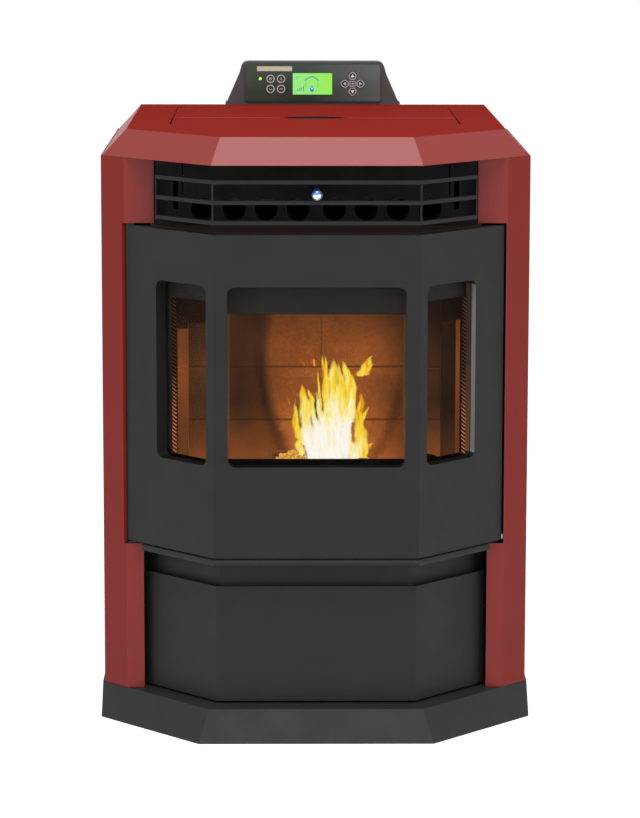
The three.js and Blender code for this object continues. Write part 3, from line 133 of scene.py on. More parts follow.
def make_camera():
    forward = Vector((
        math.sin(CAMERA_YAW) * math.cos(CAMERA_PITCH),
        math.cos(CAMERA_YAW) * math.cos(CAMERA_PITCH),
        -math.sin(CAMERA_PITCH),
    ))
    level = Vector((math.cos(CAMERA_YAW), -math.sin(CAMERA_YAW), 0))
    rise = level.cross(forward)
    right = level * math.cos(CAMERA_ROLL) + rise * math.sin(CAMERA_ROLL)
    up = rise * math.cos(CAMERA_ROLL) - level * math.sin(CAMERA_ROLL)
    data = bpy.data.cameras.new("camera")
    data.sensor_width = SENSOR
    data.lens = FOCAL_PIXELS / IMAGE_HEIGHT * SENSOR
    data.shift_y = CENTRE_SHIFT / IMAGE_HEIGHT
    data.clip_end = 200
    camera = bpy.data.objects.new("camera", data)
    turn = Matrix((right, up, -forward)).transposed().to_4x4()
    camera.matrix_world = Matrix.Translation(CAMERA_AT) @ turn
    scene.collection.objects.link(camera)
    scene.camera = camera


# ---------------------------------------------------------------- materials
def linear(red, green, blue):
    """A linear colour from the 0 to 255 values that it shows as."""
    def one(value):
        value = value / 255
        return value / 12.92 if value <= 0.04045 else ((value + 0.055) / 1.055) ** 2.4
    return (one(red), one(green), one(blue), 1)


class Finish:
    """A material with one main shader, and short calls for the nodes that feed it."""

    def __init__(self, name, colour, roughness, metallic=0.0, specular=0.5, **sockets):
        self.material = bpy.data.materials.new(name)
        self.material.use_nodes = True
        self.tree = self.material.node_tree
        self.shader = self.tree.nodes["Principled BSDF"]
        self.set("Base Color", colour)
        self.set("Roughness", roughness)
        self.set("Metallic", metallic)
        self.set("Specular IOR Level", specular)
        for socket, value in sockets.items():
            self.set(socket.replace("_", " "), value)
        where = self.node("ShaderNodeTexCoord")
        self.place = where.outputs["Object"]
        self.normal = where.outputs["Normal"]

    def set(self, socket, value):
        self.feed(self.shader.inputs[socket], value)

    def feed(self, socket, value):
        if isinstance(value, bpy.types.NodeSocket):
            self.tree.links.new(value, socket)
        else:
            socket.default_value = value

    def node(self, kind, inputs=(), **settings):
        made = self.tree.nodes.new(kind)
        for name, value in settings.items():
            setattr(made, name, value)
        for key, value in dict(inputs).items():
            self.feed(made.inputs[key], value)
        return made

    def stretched(self, x, y, z):
        """The place, scaled by axis."""
        return self.node("ShaderNodeMapping", {"Vector": self.place, "Scale": (x, y, z)}).outputs["Vector"]

    def noise(self, scale, detail=2.0, rough=0.5, at=None):
        made = self.node("ShaderNodeTexNoise", {
            "Vector": at or self.place, "Scale": scale, "Detail": detail, "Roughness": rough})
        return made.outputs["Fac"]

    def cells(self, scale):
        return self.node("ShaderNodeTexVoronoi", {"Vector": self.place, "Scale": scale}).outputs

    def math(self, operation, first, second=0.0, third=0.0, clamp=False):
        inputs = {0: first, 1: second, 2: third}
        return self.node("ShaderNodeMath", inputs, operation=operation, use_clamp=clamp).outputs[0]

    def times(self, *values):
        """The product of values."""
        result = values[0]
        for value in values[1:]:
            result = self.math("MULTIPLY", result, value)
        return result

    def centred(self, value):
        """A value from 0 to 1, moved to swing about 0."""
        return self.math("SUBTRACT", value, 0.5)

    def rest(self, value):
        """What a value lacks to 1."""
        return self.math("SUBTRACT", 1.0, value)

    def away(self, value, middle):
        """How far a value lies from a middle, to either side."""
        return self.math("ABSOLUTE", self.math("SUBTRACT", value, middle))

    def between(self, value, low, high):
        """1 between two limits and 0 elsewhere."""
        return self.times(self.math("GREATER_THAN", value, low), self.math("LESS_THAN", value, high))

    def spread(self, value, low, high, to_low=0.0, to_high=1.0):
        """Maps low..high to to_low..to_high and stops there."""
        made = self.node("ShaderNodeMapRange", {
            "Value": value, "From Min": low, "From Max": high, "To Min": to_low, "To Max": to_high})
        return made.outputs["Result"]

    def uneven(self, scale, detail, low=0.0, high=1.0, rough=0.5):
        """Noise that runs from one value to another."""
        return self.spread(self.noise(scale, detail, rough), 0.3, 0.7, low, high)

    def blend(self, factor, first, second):
        made = self.node("ShaderNodeMix", data_type="RGBA")
        self.feed(made.inputs["Factor"], factor)
        self.feed(made.inputs[6], first)
        self.feed(made.inputs[7], second)
        return made.outputs[2]

    def ramp(self, factor, *stops):
        made = self.node("ShaderNodeValToRGB", {"Fac": factor})
        elements = made.color_ramp.elements
        while len(elements) < len(stops):
            elements.new(0.5)
        for element, (position, colour) in zip(elements, stops):
            element.position = position
            element.color = colour
        return made.outputs["Color"]

    def axis(self, name):
        """The place along one axis."""
        return self.node("ShaderNodeSeparateXYZ", {0: self.place}).outputs[name]

    def facing(self, name):
        """How far the surface looks along one axis, from -1 to 1."""
        return self.node("ShaderNodeSeparateXYZ", {0: self.normal}).outputs[name]

    def reach(self, centre, radii):
        """The distance from a place, counted in radii: 1 on the skin of that ellipsoid."""
        moved = self.node("ShaderNodeVectorMath", {0: self.place, 1: centre}, operation="SUBTRACT")
        scaled = self.node("ShaderNodeVectorMath", {0: moved.outputs[0], 1: radii}, operation="DIVIDE")
        length = self.node("ShaderNodeVectorMath", {0: scaled.outputs[0]}, operation="LENGTH")
        return length.outputs["Value"]

    def total(self, *terms):
        """The sum of values, each given with its weight."""
        result = 0.0
        for value, weight in terms:
            result = self.math("MULTIPLY_ADD", value, weight, result)
        return result

    def bump(self, height, distance):
        inputs = {"Height": height, "Distance": distance, "Strength": 1.0}
        return self.node("ShaderNodeBump", inputs).outputs["Normal"]

    def glow(self, colour, strength):
        self.set("Emission Color", colour)
        self.set("Emission Strength", strength)


def shade(colour, factor):
    return (colour[0] * factor, colour[1] * factor, colour[2] * factor, 1)


def mottled(made, colour, scale, amount):
    """The colour, a little lighter and darker in soft patches."""
    patches = made.uneven(scale, 3.0, rough=0.6)
    return made.blend(patches, shade(colour, 1 - amount), shade(colour, 1 + amount))


def firelight_colours(made, heat):
    """Painted firelight: from unlit, sooty brick at 0 to brick that is lit by the flames at 1."""
    return made.ramp(heat, (0.0, linear(26, 18, 14)), (0.2, linear(60, 38, 25)), (0.4, linear(84, 51, 30)),
                     (0.6, linear(114, 65, 34)), (0.8, linear(146, 82, 41)), (1.0, linear(190, 114, 54)))


def flickering(made, heat, scale):
    """The colours of painted firelight that is a little uneven."""
    return firelight_colours(made, made.math("MULTIPLY_ADD", made.noise(scale, 4), 0.2, heat))


def sanded(made):
    """The fine grain of black stove paint."""
    made.set("Normal", made.bump(made.noise(1300, 3, 0.6), 0.00004))


def red_enamel():
    colour = linear(139, 38, 31)
    made = Finish("red_enamel", colour, 0.5, specular=0.0, Coat_Roughness=0.42)
    # The upright edges round the finger recess lie in its shadow.
    across = made.math("DIVIDE", made.math("ABSOLUTE", made.axis("X")), RECESS_HALF_WIDTH)
    behind = made.away(made.axis("Y"), RECESS_CENTRE)
    outline = made.math("MULTIPLY_ADD", behind, 1 / RECESS_HALF_DEPTH, made.math("POWER", across, 4.0))
    upright = made.math("LESS_THAN", made.facing("Z"), 0.5)
    recess = made.times(made.math("LESS_THAN", outline, 1.03), upright)
    made.set("Base Color", made.blend(recess, mottled(made, colour, 6, 0.03), linear(40, 6, 5)))
    # The coat is a painted sheen set by facing: strong on the slopes and front faces, weaker on upright
    # sides, and almost none on the flat top.
    upward = made.facing("Z")
    forward = made.spread(made.facing("Y"), -0.85, -0.98)
    sloping = made.math("MULTIPLY_ADD", forward, 0.3, made.spread(upward, 0.02, 0.3, 0.5, 0.95))
    sheen_off_top = made.spread(upward, 0.98, 0.85, 0.03, 1.0)
    made.set("Coat Weight", made.math("MULTIPLY", sloping, sheen_off_top, clamp=True))
    made.set("Roughness", made.uneven(9, 4, 0.45, 0.6))
    made.set("Normal", made.bump(made.noise(420, 2, 0.45), 0.00003))
    return made.material


def black_paint(name, level, roughness):
    colour = linear(level, level, level * 0.995)
    made = Finish(name, colour, roughness, specular=0.25)
    made.set("Base Color", mottled(made, colour, 14, 0.06))
    made.set("Roughness", made.uneven(30, 4, roughness - 0.05, roughness + 0.05))
    sanded(made)
    return made.material


def door_paint():
    """Black paint, with painted shade on the sills of the windows, a painted highlight on one edge round the
    right window, and painted firelight on that window's far wall.
    """
    colour = linear(33, 33, 33)
    made = Finish("black_paint_door", colour, 0.55, specular=0.25)
    x, y, z = made.axis("X"), made.math("SUBTRACT", made.axis("Y"), DATUM), made.axis("Z")
    along = made.times(made.math("ADD", x, y), math.sqrt(0.5))
    inward = made.times(made.math("SUBTRACT", y, x), math.sqrt(0.5))
    # The far wall of the right window: a painted highlight along its edge, and further in painted firelight.
    wall = made.spread(made.away(along, REVEAL_ALONG), 0.0016, 0.0012)
    wall = made.times(wall, made.math("GREATER_THAN", inward, REVEAL_FRONT), made.between(z, *SIDE_WINDOW))
    edge = made.times(wall, made.spread(inward, REVEAL_TRIM + 0.0002, REVEAL_TRIM - 0.0002))
    deep = made.times(wall, made.spread(inward, REVEAL_TRIM + 0.0014, REVEAL_TRIM + 0.0020))
    # Painted shade on the sills, the upward faces of the window reveals.
    sill_shade = made.times(made.spread(made.facing("Z"), 0.6, 0.95), made.spread(y, 0.0105, 0.0125),
                      made.math("LESS_THAN", made.away(z, SILL), 0.02))
    paint = made.blend(edge, mottled(made, colour, 14, 0.06), linear(150, 148, 150))
    made.set("Base Color", made.blend(sill_shade, paint, linear(4, 4, 4)))
    made.set("Roughness", made.uneven(30, 4, 0.5, 0.6))
    sanded(made)
    made.glow(flickering(made, made.spread(z, 0.56, 0.42, 0.04, 0.34), 60), deep)
    return made.material


def retainer_paint():
    """Black paint round the panes: painted shade, near black, below the centre pane, and painted firelight
    beside it.
    """
    made = Finish("black_paint_retainer", linear(31, 31, 31), 0.6, specular=0.1)
    aside, z = made.math("ABSOLUTE", made.axis("X")), made.axis("Z")
    # Painted shade below the centre pane.
    below = made.spread(z, CENTRE_PANE[0] + 0.0008, CENTRE_PANE[0] - 0.0002)
    made.set("Base Color", made.blend(below, mottled(made, linear(41, 43, 47), 14, 0.06), linear(7, 7, 7)))
    sanded(made)
    beside = made.times(made.between(aside, *BESIDE_CENTRE_PANE), made.between(z, *CENTRE_PANE))
    made.glow(flickering(made, made.spread(z, 0.56, 0.42, 0.22, 0.42), 70), beside)
    return made.material


def bare_steel(name, level, roughness):
    """Steel with fine level lines."""
    colour = linear(level, level, level + 3)
    made = Finish(name, colour, roughness, metallic=1.0)
    lines = made.noise(60, 6, 0.7, at=made.stretched(1, 1, 40))
    light = made.spread(lines, 0.3, 0.7)
    made.set("Base Color", made.blend(light, shade(colour, 0.82), shade(colour, 1.12)))
    made.set("Roughness", made.spread(lines, 0.3, 0.7, roughness - 0.08, roughness + 0.12))
    made.set("Normal", made.bump(lines, 0.00002))
    return made.material


def galvanised(name, level, lit_before=None):
    """Zinc-coated sheet. What lies before a given depth shows the light of the fire."""
    colour = linear(level, level + 3, level + 6)
    made = Finish(name, colour, 0.5, metallic=1.0)
    spangle = made.spread(made.cells(90)["Color"], 0.0, 1.0)
    made.set("Base Color", made.blend(spangle, shade(colour, 0.8), shade(colour, 1.15)))
    made.set("Roughness", made.spread(spangle, 0.0, 1.0, 0.38, 0.58))
    made.set("Normal", made.bump(made.noise(300, 3), 0.00002))
    if lit_before:
        lit = made.spread(made.axis("Y"), lit_before + 0.001, lit_before)
        made.glow(firelight_colours(made, made.uneven(26, 4, 0.68, 0.86, rough=0.6)), lit)
    return made.material


def moulded_plastic(name, level, roughness):
    colour = linear(level, level, level - 1)
    made = Finish(name, colour, roughness, specular=0.2)
    made.set("Base Color", mottled(made, colour, 25, 0.05))
    made.set("Roughness", made.uneven(60, 2, roughness - 0.04, roughness + 0.05))
    made.set("Normal", made.bump(made.cells(1400)["Distance"], 0.00003))
    return made.material


def firelit(name, base, roughness, firelight_of):
    """A surface inside the firebox, which shows the light of the fire."""
    made = Finish(name, base, roughness, specular=0.1)
    grain = made.noise(420, 4, 0.75)
    made.set("Base Color", made.blend(grain, shade(base, 0.6), shade(base, 1.2)))
    made.set("Normal", made.bump(made.math("ADD", grain, made.noise(90, 4)), 0.0006))
    made.glow(firelight_colours(made, firelight_of(made, grain)), 1.0)
    return made.material


def brick_joints(made, x, z):
    """The courses show as thin dark lines, and one upright joint in the upper course."""
    to_joint = made.math("PINGPONG", made.math("SUBTRACT", z, FIRST_JOINT), COURSE / 2)
    upright = made.times(made.spread(made.away(x, UPRIGHT_JOINT), 0.0014, 0.0006),
                         made.between(z, FIRST_JOINT + COURSE, FIRST_JOINT + 2 * COURSE))
    return made.math("ADD", made.spread(to_joint, 0.0019, 0.0012), made.times(upright, 0.6), clamp=True)


def brick_firelight(made, grain):
    """Painted firelight on the bricks: bright in the oval that the flames sweep clean, with soot round it.
    """
    x, z = made.axis("X"), made.axis("Z")
    aside = made.math("ABSOLUTE", x)
    ragged = made.math("MULTIPLY_ADD", made.noise(70, 4, 0.8), 0.12, -0.06)
    oval = made.math("ADD", made.reach(*SWEPT), ragged)
    # The oval has a sharp rim on the left and fades away on the right.
    right = made.spread(x, 0.0, 0.06)
    faded = made.times(made.spread(made.reach(*SWEPT_RIGHT), 1.2, 0.6), right)
    swept = made.total((made.spread(oval, 1.07, 0.93), made.rest(right)), (faded, 1.0))
    # Painted firelight: brighter near the fire and low down, and dimmer high up.
    near = made.spread(made.reach(*NEAR_FIRE), 1.35, 0.3)
    low = made.spread(z, 0.445, 0.355)
    corner = made.times(made.spread(made.away(aside, 0.165), 0.05, 0.0),
                        made.spread(made.away(z, 0.495), 0.06, 0.0))
    soot = made.times(made.spread(made.away(oval, 1.10), 0.10, 0.0), made.spread(z, 0.56, 0.44))
    upper_right = made.times(made.spread(x, 0.06, 0.12), made.spread(z, 0.54, 0.58))
    upper = made.math("ADD", made.spread(z, 0.50, 0.60), upper_right)
    patches = made.centred(made.noise(11, 4, 0.6))
    speckle = made.times(made.centred(grain), made.spread(swept, 0, 1, 0.3, 0.75))
    heat = made.total((swept, 0.34), (near, 0.28), (low, 0.48), (corner, 0.2), (soot, -0.2), (upper, -0.1),
                      (patches, 0.55), (speckle, 1.0))
    heat = made.math("ADD", heat, 0.19)
    # In the side windows they carry painted shade high up, and a little less painted firelight on the right.
    above = made.times(made.spread(aside, *BRICKS_ASIDE), made.spread(z, 0.5605, 0.5625))
    dull = made.times(made.spread(x, *BRICKS_ASIDE), made.spread(z, 0.42, 0.48),
                      made.spread(z, 0.58, 0.50, 0.5, 1.0))
    heat = made.math("ADD", heat, made.total((above, -0.34), (dull, -0.08)), clamp=True)
    return made.times(heat, made.math("MULTIPLY_ADD", brick_joints(made, x, z), -0.42, 1.0))


def steel_firelight(made, grain):
    """Dark walls, with flame light on the angles beside the bricks and on the mouth of the chute."""
    x, y, z = made.axis("X"), made.axis("Y"), made.axis("Z")
    aside = made.math("ABSOLUTE", x)
    left, right = (made.times(*[made.spread(value, *ramp) for value, ramp in zip((x, x, z), ramps)])
                   for ramps in ANGLES)
    angles = made.times(made.math("ADD", left, right, clamp=True),
                        made.spread(y, ANGLES_FROM, ANGLES_FROM + 0.005))
    patches = made.centred(made.noise(14, 4, 0.6))
    walls = made.total((made.spread(z, 0.42, 0.35), 0.3), (patches, 0.2), (grain, 0.14),
                       (made.spread(z, 0.56, 0.60), -0.2))
    lit = made.total((made.spread(made.away(z, 0.49), 0.09, 0.0), 0.14), (patches, 0.25),
                     (made.centred(grain), 0.2))
    heat = made.total((walls, made.rest(angles)), (angles, made.math("ADD", lit, 0.56)))
    inside = made.times(made.spread(aside, FIREBOX_HALF + 0.0003, FIREBOX_HALF - 0.0003),
                        made.spread(z, FIREBOX_TOP + 0.0005, FIREBOX_TOP - 0.0005),
                        made.spread(y, FIREBOX_REAR + 0.0005, FIREBOX_REAR - 0.0002))
    mouth = made.times(made.spread(aside, CHUTE_HALF + 0.001, CHUTE_HALF - 0.001),
                       made.spread(z, CHUTE_TOP + 0.005, CHUTE_TOP - 0.005))
    return made.math("MAXIMUM", made.times(heat, inside), made.times(mouth, 0.62), clamp=True)


def ceramic_glass():
    made = Finish("ceramic_glass", linear(240, 234, 226), 0.02, specular=0.5, IOR=1.05)
    made.set("Transmission Weight", 1.0)
    smears = made.noise(7, 5, 0.6)
    made.set("Roughness", made.spread(smears, 0.35, 0.75, 0.0, 0.02))
    return made.material


def cast_iron():
    colour = linear(58, 54, 50)
    made = Finish("cast_iron", colour, 0.85, metallic=0.3)
    made.set("Base Color", mottled(made, colour, 60, 0.25))
    made.set("Normal", made.bump(made.noise(500, 5, 0.7), 0.0003))
    # Painted firelight on the upper part of the burn pot, strongest at its rim.
    z = made.axis("Z")
    made.glow(flickering(made, made.spread(z, POT_RIM - 0.008, POT_RIM, 0.0, 0.52), 40),
              made.spread(z, POT_DARK, POT_RIM - 0.002))
    return made.material


def rope_weave(name, level, glow=0.0):
    """Twisted glass-fibre rope, with strands that climb round it, and may show painted firelight low down.
    """
    colour = linear(level, level * 0.93, level * 0.86)
    made = Finish(name, colour, 0.95, specular=0.1)
    z = made.axis("Z")
    strands = made.math("SINE", made.total((z, 1120.0), (made.axis("X"), 900.0)))
    made.set("Base Color", made.blend(made.spread(strands, -1, 1), shade(colour, 0.35), shade(colour, 1.3)))
    made.set("Normal", made.bump(strands, 0.0006))
    if glow:
        # Painted firelight on the strands, strongest low down.
        lit = made.blend(made.spread(strands, 0.2, 1), linear(60, 33, 19), linear(228, 146, 90))
        made.glow(lit, made.spread(z, 0.52, 0.45, 0.1, glow))
    return made.material


def gloss_fascia():
    made = Finish("gloss_fascia", linear(34, 38, 35), 0.12, specular=0.25)
    # The panel's own grey green, with a painted reflection that lightens it in soft clouds towards the right
    # end.
    across = made.spread(made.axis("X"), -0.10, 0.11)
    cloud = made.math("MULTIPLY_ADD", made.centred(made.noise(12, 3)), 0.3, across, clamp=True)
    made.set("Base Color", made.ramp(cloud, (0.0, linear(60, 68, 58)), (0.45, linear(40, 60, 48)),
                                     (1.0, linear(92, 98, 98))))
    made.set("Roughness", made.uneven(14, 3, 0.08, 0.2))
    return made.material


def lit_display():
    """A green display, yellower to the right, with fine upright lines."""
    made = Finish("lit_display", linear(40, 60, 30), 0.25)
    x = made.axis("X")
    green = made.blend(made.spread(x, -0.034, 0.034), linear(150, 236, 130), linear(150, 240, 72))
    lines = made.math("SINE", made.times(x, 9000))
    made.glow(made.blend(made.uneven(45, 2, 0.0, 0.06), green, linear(90, 160, 70)),
              made.math("MULTIPLY_ADD", lines, 0.03, 0.92))
    return made.material


def plain_glow(name, colour, strength):
    made = Finish(name, colour, 0.3)
    made.set("Base Color", mottled(made, colour, 200, 0.1))
    made.glow(mottled(made, colour, 300, 0.08), strength)
    return made.material


def ink_and_highlight(name, colour):
    """Screen ink, with a little unevenness; the painted highlight on the lid's edge uses it too."""
    made = Finish(name, colour, 0.5, specular=0.3)
    made.set("Base Color", mottled(made, colour, 400, 0.08))
    return made.material


def knob_chrome():
    """Chrome with a painted reflection in its colour: a white floor below and a blue sky above."""
    made = Finish("knob_chrome", linear(225, 229, 236), 0.12, metallic=0.6)
    low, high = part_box("scraper_knob")
    height = made.math("SUBTRACT", made.axis("Z"), (low.z + high.z) / 2)
    cloud = made.times(made.centred(made.noise(160, 2)), 0.004)
    level = made.spread(made.math("ADD", height, cloud), -0.004, 0.006)
    made.set("Base Color", made.ramp(level, (0.0, linear(240, 240, 242)), (0.42, linear(214, 218, 228)),
                                     (0.6, linear(96, 146, 226)), (1.0, linear(70, 120, 215))))
    return made.material


# ---------------------------------------------------------------- making pieces
def piece_from(name, bm, material, body, smooth=False):
    mesh = bpy.data.meshes.new(name)
    bmesh.ops.recalc_face_normals(bm, faces=bm.faces)
    bm.to_mesh(mesh)
    bm.free()
    for polygon in mesh.polygons:
        polygon.use_smooth = smooth
    mesh.materials.append(material)
    made = bpy.data.objects.new(name, mesh)
    scene.collection.objects.link(made)
    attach(made, body)
    return made


def put_box(bm, low, high):
    """A box between two corners."""
    low, high = Vector(low), Vector(high)
    for vertex in bmesh.ops.create_cube(bm, size=1)["verts"]:
        vertex.co = [low[k] + (vertex.co[k] + 0.5) * (high[k] - low[k]) for k in range(3)]


def put_loft(bm, rings):
    """A closed skin over rings that have the same count of points."""
    rows = [[bm.verts.new(point) for point in ring] for ring in rings]
    count = len(rows[0])
    for lower, upper in zip(rows, rows[1:]):
        for k in range(count):
            bm.faces.new((lower[k], lower[(k + 1) % count], upper[(k + 1) % count], upper[k]))
    bm.faces.new(list(reversed(rows[0])))
    bm.faces.new(rows[-1])


def placed(x, depth, z):
    """A place in metres, from millimetres and a depth that is counted from the datum."""
    return (x * MM, depth * MM + DATUM, z * MM)


def circle(centre, radius, sides):
    """Points round a circle in elevation."""
    angles = [2 * math.pi * k / sides for k in range(sides)]
    return [(centre[0] + radius * math.cos(angle), centre[1] + radius * math.sin(angle)) for angle in angles]


def put_prism(bm, outline, front, rear):
    """An outline in elevation (x, z), run from one depth to another, in millimetres."""
    put_loft(bm, [[placed(x, depth, z) for x, z in outline] for depth in (front, rear)])


# ---------------------------------------------------------------- finishes on the solids
def dress(material, *names):
    for name in names:
        slots = nodes[name].data.materials
        slots.clear()
        slots.append(material)


def dress_solids():
    dress(red_enamel(), "side_panel_left", "side_panel_right", "top_cap", "hopper_lid")
    dress(black_paint("black_paint", 42, 0.55), "base_skirt")
    dress(door_paint(), "door_frame")
    dress(black_paint("black_paint_low", 38, 0.55), "door_hinge_upper", "door_hinge_lower", "ash_lip",
          "ash_drawer_front")
    dress(black_paint("black_paint_louvre", 31, 0.6), "grille_louvre")
    dress(retainer_paint(), "glass_retainer")
    dress(black_paint("black_paint_deep", 16, 0.8), "rear_panel", "tube_plate", "heat_exchanger",
          "ash_pan", "auger_motor", "combustion_motor")
    dress(bare_steel("brushed_steel", 150, 0.35), "lid_hinge_pin", "scraper_plate", "door_pull_tab",
          "catch_bracket", "catch_roller", "auger_screw", "exhaust_pipe", "air_intake_pipe", "igniter")
    dress(galvanised("galvanised", 150), "drawer_rails", "hopper", "hopper_guard",
          "convection_housing", "convection_wheel", "combustion_housing", "combustion_wheel")
    dress(galvanised("galvanised_chute", 110, lit_before=CHUTE_LIT), "auger_tube")
    dress(cast_iron(), "burn_pot_seat", "burn_pot")
    dress(firelit("firelit_brick", linear(44, 28, 19), 0.95, brick_firelight), "brick_liner")
    dress(firelit("firelit_steel", linear(26, 22, 20), 0.7, steel_firelight), "firebox_shell", "baffle_plate")
    dress(ceramic_glass(), "glass_centre", "glass_left", "glass_right")
    dress(rope_weave("door_rope", 70), "door_gasket")
    dress(moulded_plastic("moulded_plastic", 78, 0.7), "finger_scoop", "control_housing", "power_inlet")
    dress(gloss_fascia(), "control_fascia")
    dress(moulded_plastic("key_plastic", 52, 0.35), *[name for name in nodes if name.startswith("key_")])
    dress(lit_display(), "lcd_screen")
    dress(plain_glow("lit_green", linear(140, 250, 70), 1.1), "status_led")
    dress(knob_chrome(), "scraper_knob")


# ---------------------------------------------------------------- fire
# Each tongue of flame: foot, bend and tip as x and z, half width, depth from the datum, and the
# heat at its foot and at its tip.
TONGUES = [
    # the tall middle
    ((18, 430), (14, 500), (9.5, 532), 5.5, 192, 0.62, 0.30),
    ((16, 430), (20, 500), (14, 528), 4.5, 200, 0.60, 0.34),
    ((30, 420), (30, 500), (26, 526), 11, 198, 0.66, 0.38),
    ((44, 425), (50, 500), (40, 522), 10, 194, 0.64, 0.36),
    ((52, 430), (60, 480), (46, 515), 7, 188, 0.60, 0.34),
    ((38, 425), (38, 490), (33, 520), 8, 186, 0.62, 0.40),
    ((9, 450), (5, 490), (2, 508), 2.4, 190, 0.44, 0.20),
    # the peak on the left
    ((-14, 425), (-20, 470), (-18.5, 489), 8, 186, 0.62, 0.34),
    ((-2, 435), (-6, 470), (-12, 480), 5, 192, 0.58, 0.34),
    ((-12, 400), (-8, 440), (-9, 470), 9, 196, 0.70, 0.40),
    # the lobe at the far left
    ((-20, 404), (-34, 432), (-29, 466), 5.5, 182, 0.56, 0.30),
    ((-16, 396), (-30, 420), (-31, 446), 7, 188, 0.60, 0.34),
    # the white streak that leans to the right
    ((40, 400), (52, 450), (61, 496), 7, 176, 0.98, 0.50),
    ((46, 410), (52, 450), (57, 482), 5, 182, 1.00, 0.72),
    # the right side
    ((68, 390), (64, 450), (68, 475), 8.5, 198, 0.46, 0.18),
    ((64, 410), (70, 440), (79, 456), 4.5, 184, 0.52, 0.26),
    ((68, 380), (72, 410), (66, 446), 8, 190, 0.56, 0.38),
    ((74, 384), (78, 398), (84, 399), 6, 186, 0.48, 0.30),
    ((62, 376), (66, 400), (60, 424), 9, 182, 0.78, 0.44),
    # the white heart
    ((-6, 374), (-14, 412), (-18, 446), 8, 178, 1.00, 0.62),
    ((4, 374), (0, 420), (-3, 450), 11, 172, 1.00, 0.60),
    ((18, 374), (20, 430), (18, 466), 13, 176, 1.00, 0.58),
    ((32, 374), (34, 430), (30, 478), 12, 170, 1.00, 0.60),
    ((12, 374), (8, 430), (2, 478), 8, 186, 0.96, 0.52),
    ((44, 376), (46, 420), (44, 462), 9, 174, 0.98, 0.62),
    ((24, 374), (26, 440), (22, 490), 7, 182, 0.94, 0.54),
    ((54, 376), (54, 396), (50, 420), 8, 176, 0.80, 0.56),
    # low flames over the pot
    ((-18, 374), (-24, 392), (-22, 414), 8, 184, 0.74, 0.40),
    ((-34, 374), (-36, 380), (-30, 390), 7, 180, 0.56, 0.34),
    ((70, 374), (74, 380), (72, 394), 8, 180, 0.58, 0.36),
]
WISPS = [
    ((66, 498), (72, 512), (86, 529), 9, 194, 0.46, 0.42),
    ((74, 500), (78, 508), (82, 520), 6, 190, 0.40, 0.36),
    ((-38, 456), (-41, 464), (-42, 474), 1.2, 192, 0.22, 0.10),
    ((-1, 512), (-2, 520), (-4, 524), 2.2, 198, 0.16, 0.06),
    ((56, 500), (64, 498), (70, 504), 2.5, 196, 0.20, 0.10),
    ((-16, 512), (-17, 517), (-19, 522), 0.9, 198, 0.10, 0.04),
]
TONGUE_STEPS = 18
TONGUE_SIDES = 16
TONGUE_TIP = 0.12  # half the width where a tongue ends
TONGUE_FLATNESS = 0.6  # how deep a tongue is beside its width


def tongue_rings(foot, bend, tip, half, depth, seed):
    """Rings up a tongue of flame: full low down, drawn out to a point, and bent like a curve."""
    wave = random.Random(seed)
    phase = wave.uniform(0, 2 * math.pi)
    lean = wave.uniform(-6, 6)
    rings = []
    for i in range(TONGUE_STEPS + 1):
        t = i / TONGUE_STEPS
        width = max(TONGUE_TIP, 1.36 * half * (1 - t) ** 0.92 * (0.66 + 1.25 * t))
        sway = math.sin(math.pi * t) ** 0.5
        flutter = (math.sin(phase + t * 7) * 0.24 + math.sin(phase * 3 + t * 17) * 0.12) * half * sway
        x, z = (foot[k] * (1 - t) ** 2 + 2 * bend[k] * t * (1 - t) + tip[k] * t * t for k in (0, 1))
        ring = []
        for k in range(TONGUE_SIDES):
            angle = 2 * math.pi * k / TONGUE_SIDES
            ripple = 1 + 0.10 * math.sin(3 * angle + phase + t * 5)
            ring.append(placed(x + flutter + math.cos(angle) * width * ripple,
                               depth + lean * t + math.sin(angle) * width * TONGUE_FLATNESS * ripple, z))
        rings.append(ring)
    return rings


def flame_material():
    """Light by the heat of each place, streaked upward, and torn and thin at the edges."""
    made = Finish("flame", (0, 0, 0, 1), 1.0, specular=0.0)
    heat = made.node("ShaderNodeAttribute", attribute_name="glow").outputs["Fac"]
    veil = made.node("ShaderNodeAttribute", attribute_name="veil").outputs["Fac"]
    streaks = made.centred(made.noise(60, 5, 0.62, at=made.stretched(2.4, 0.6, 0.5)))
    warm = made.math("MULTIPLY_ADD", streaks, 1.15, heat, clamp=True)
    made.glow(made.ramp(
        warm, (0.0, linear(190, 84, 22)), (0.2, linear(232, 146, 28)), (0.38, linear(248, 206, 44)),
        (0.55, linear(251, 230, 92)), (0.72, linear(253, 246, 186)), (0.88, linear(255, 255, 252))), 1.12)
    licks = made.centred(made.noise(90, 6, 0.68, at=made.stretched(2.2, 0.6, 0.5)))
    torn = made.spread(made.math("MULTIPLY_ADD", licks, 1.7, veil), 0.12, 0.95)
    made.set("Alpha", made.times(torn, made.spread(warm, 0.05, 0.35, 0.35, 1.0)))
    return made.material


def make_flames():
    material = flame_material()
    for group, rows in (("flame_tongues", TONGUES), ("flame_wisps", WISPS)):
        bm = bmesh.new()
        glow = bm.verts.layers.float.new("glow")
        veil = bm.verts.layers.float.new("veil")
        for seed, (foot, bend, tip, half, depth, hot, cool) in enumerate(rows):
            first = len(bm.verts)
            put_loft(bm, tongue_rings(foot, bend, tip, half, depth, seed + len(rows)))
            bm.verts.ensure_lookup_table()
            for count, vertex in enumerate(list(bm.verts)[first:]):
                t = (count // TONGUE_SIDES) / TONGUE_STEPS
                rim = abs(math.cos(2 * math.pi * (count % TONGUE_SIDES) / TONGUE_SIDES))
                vertex[glow] = hot + (cool - hot) * t ** 1.2
                vertex[veil] = min(1, (1 - rim) / 0.8) * min(1, (1 - t) / 0.3) ** 0.7
        piece_from(group, bm, material, "casing", smooth=True)


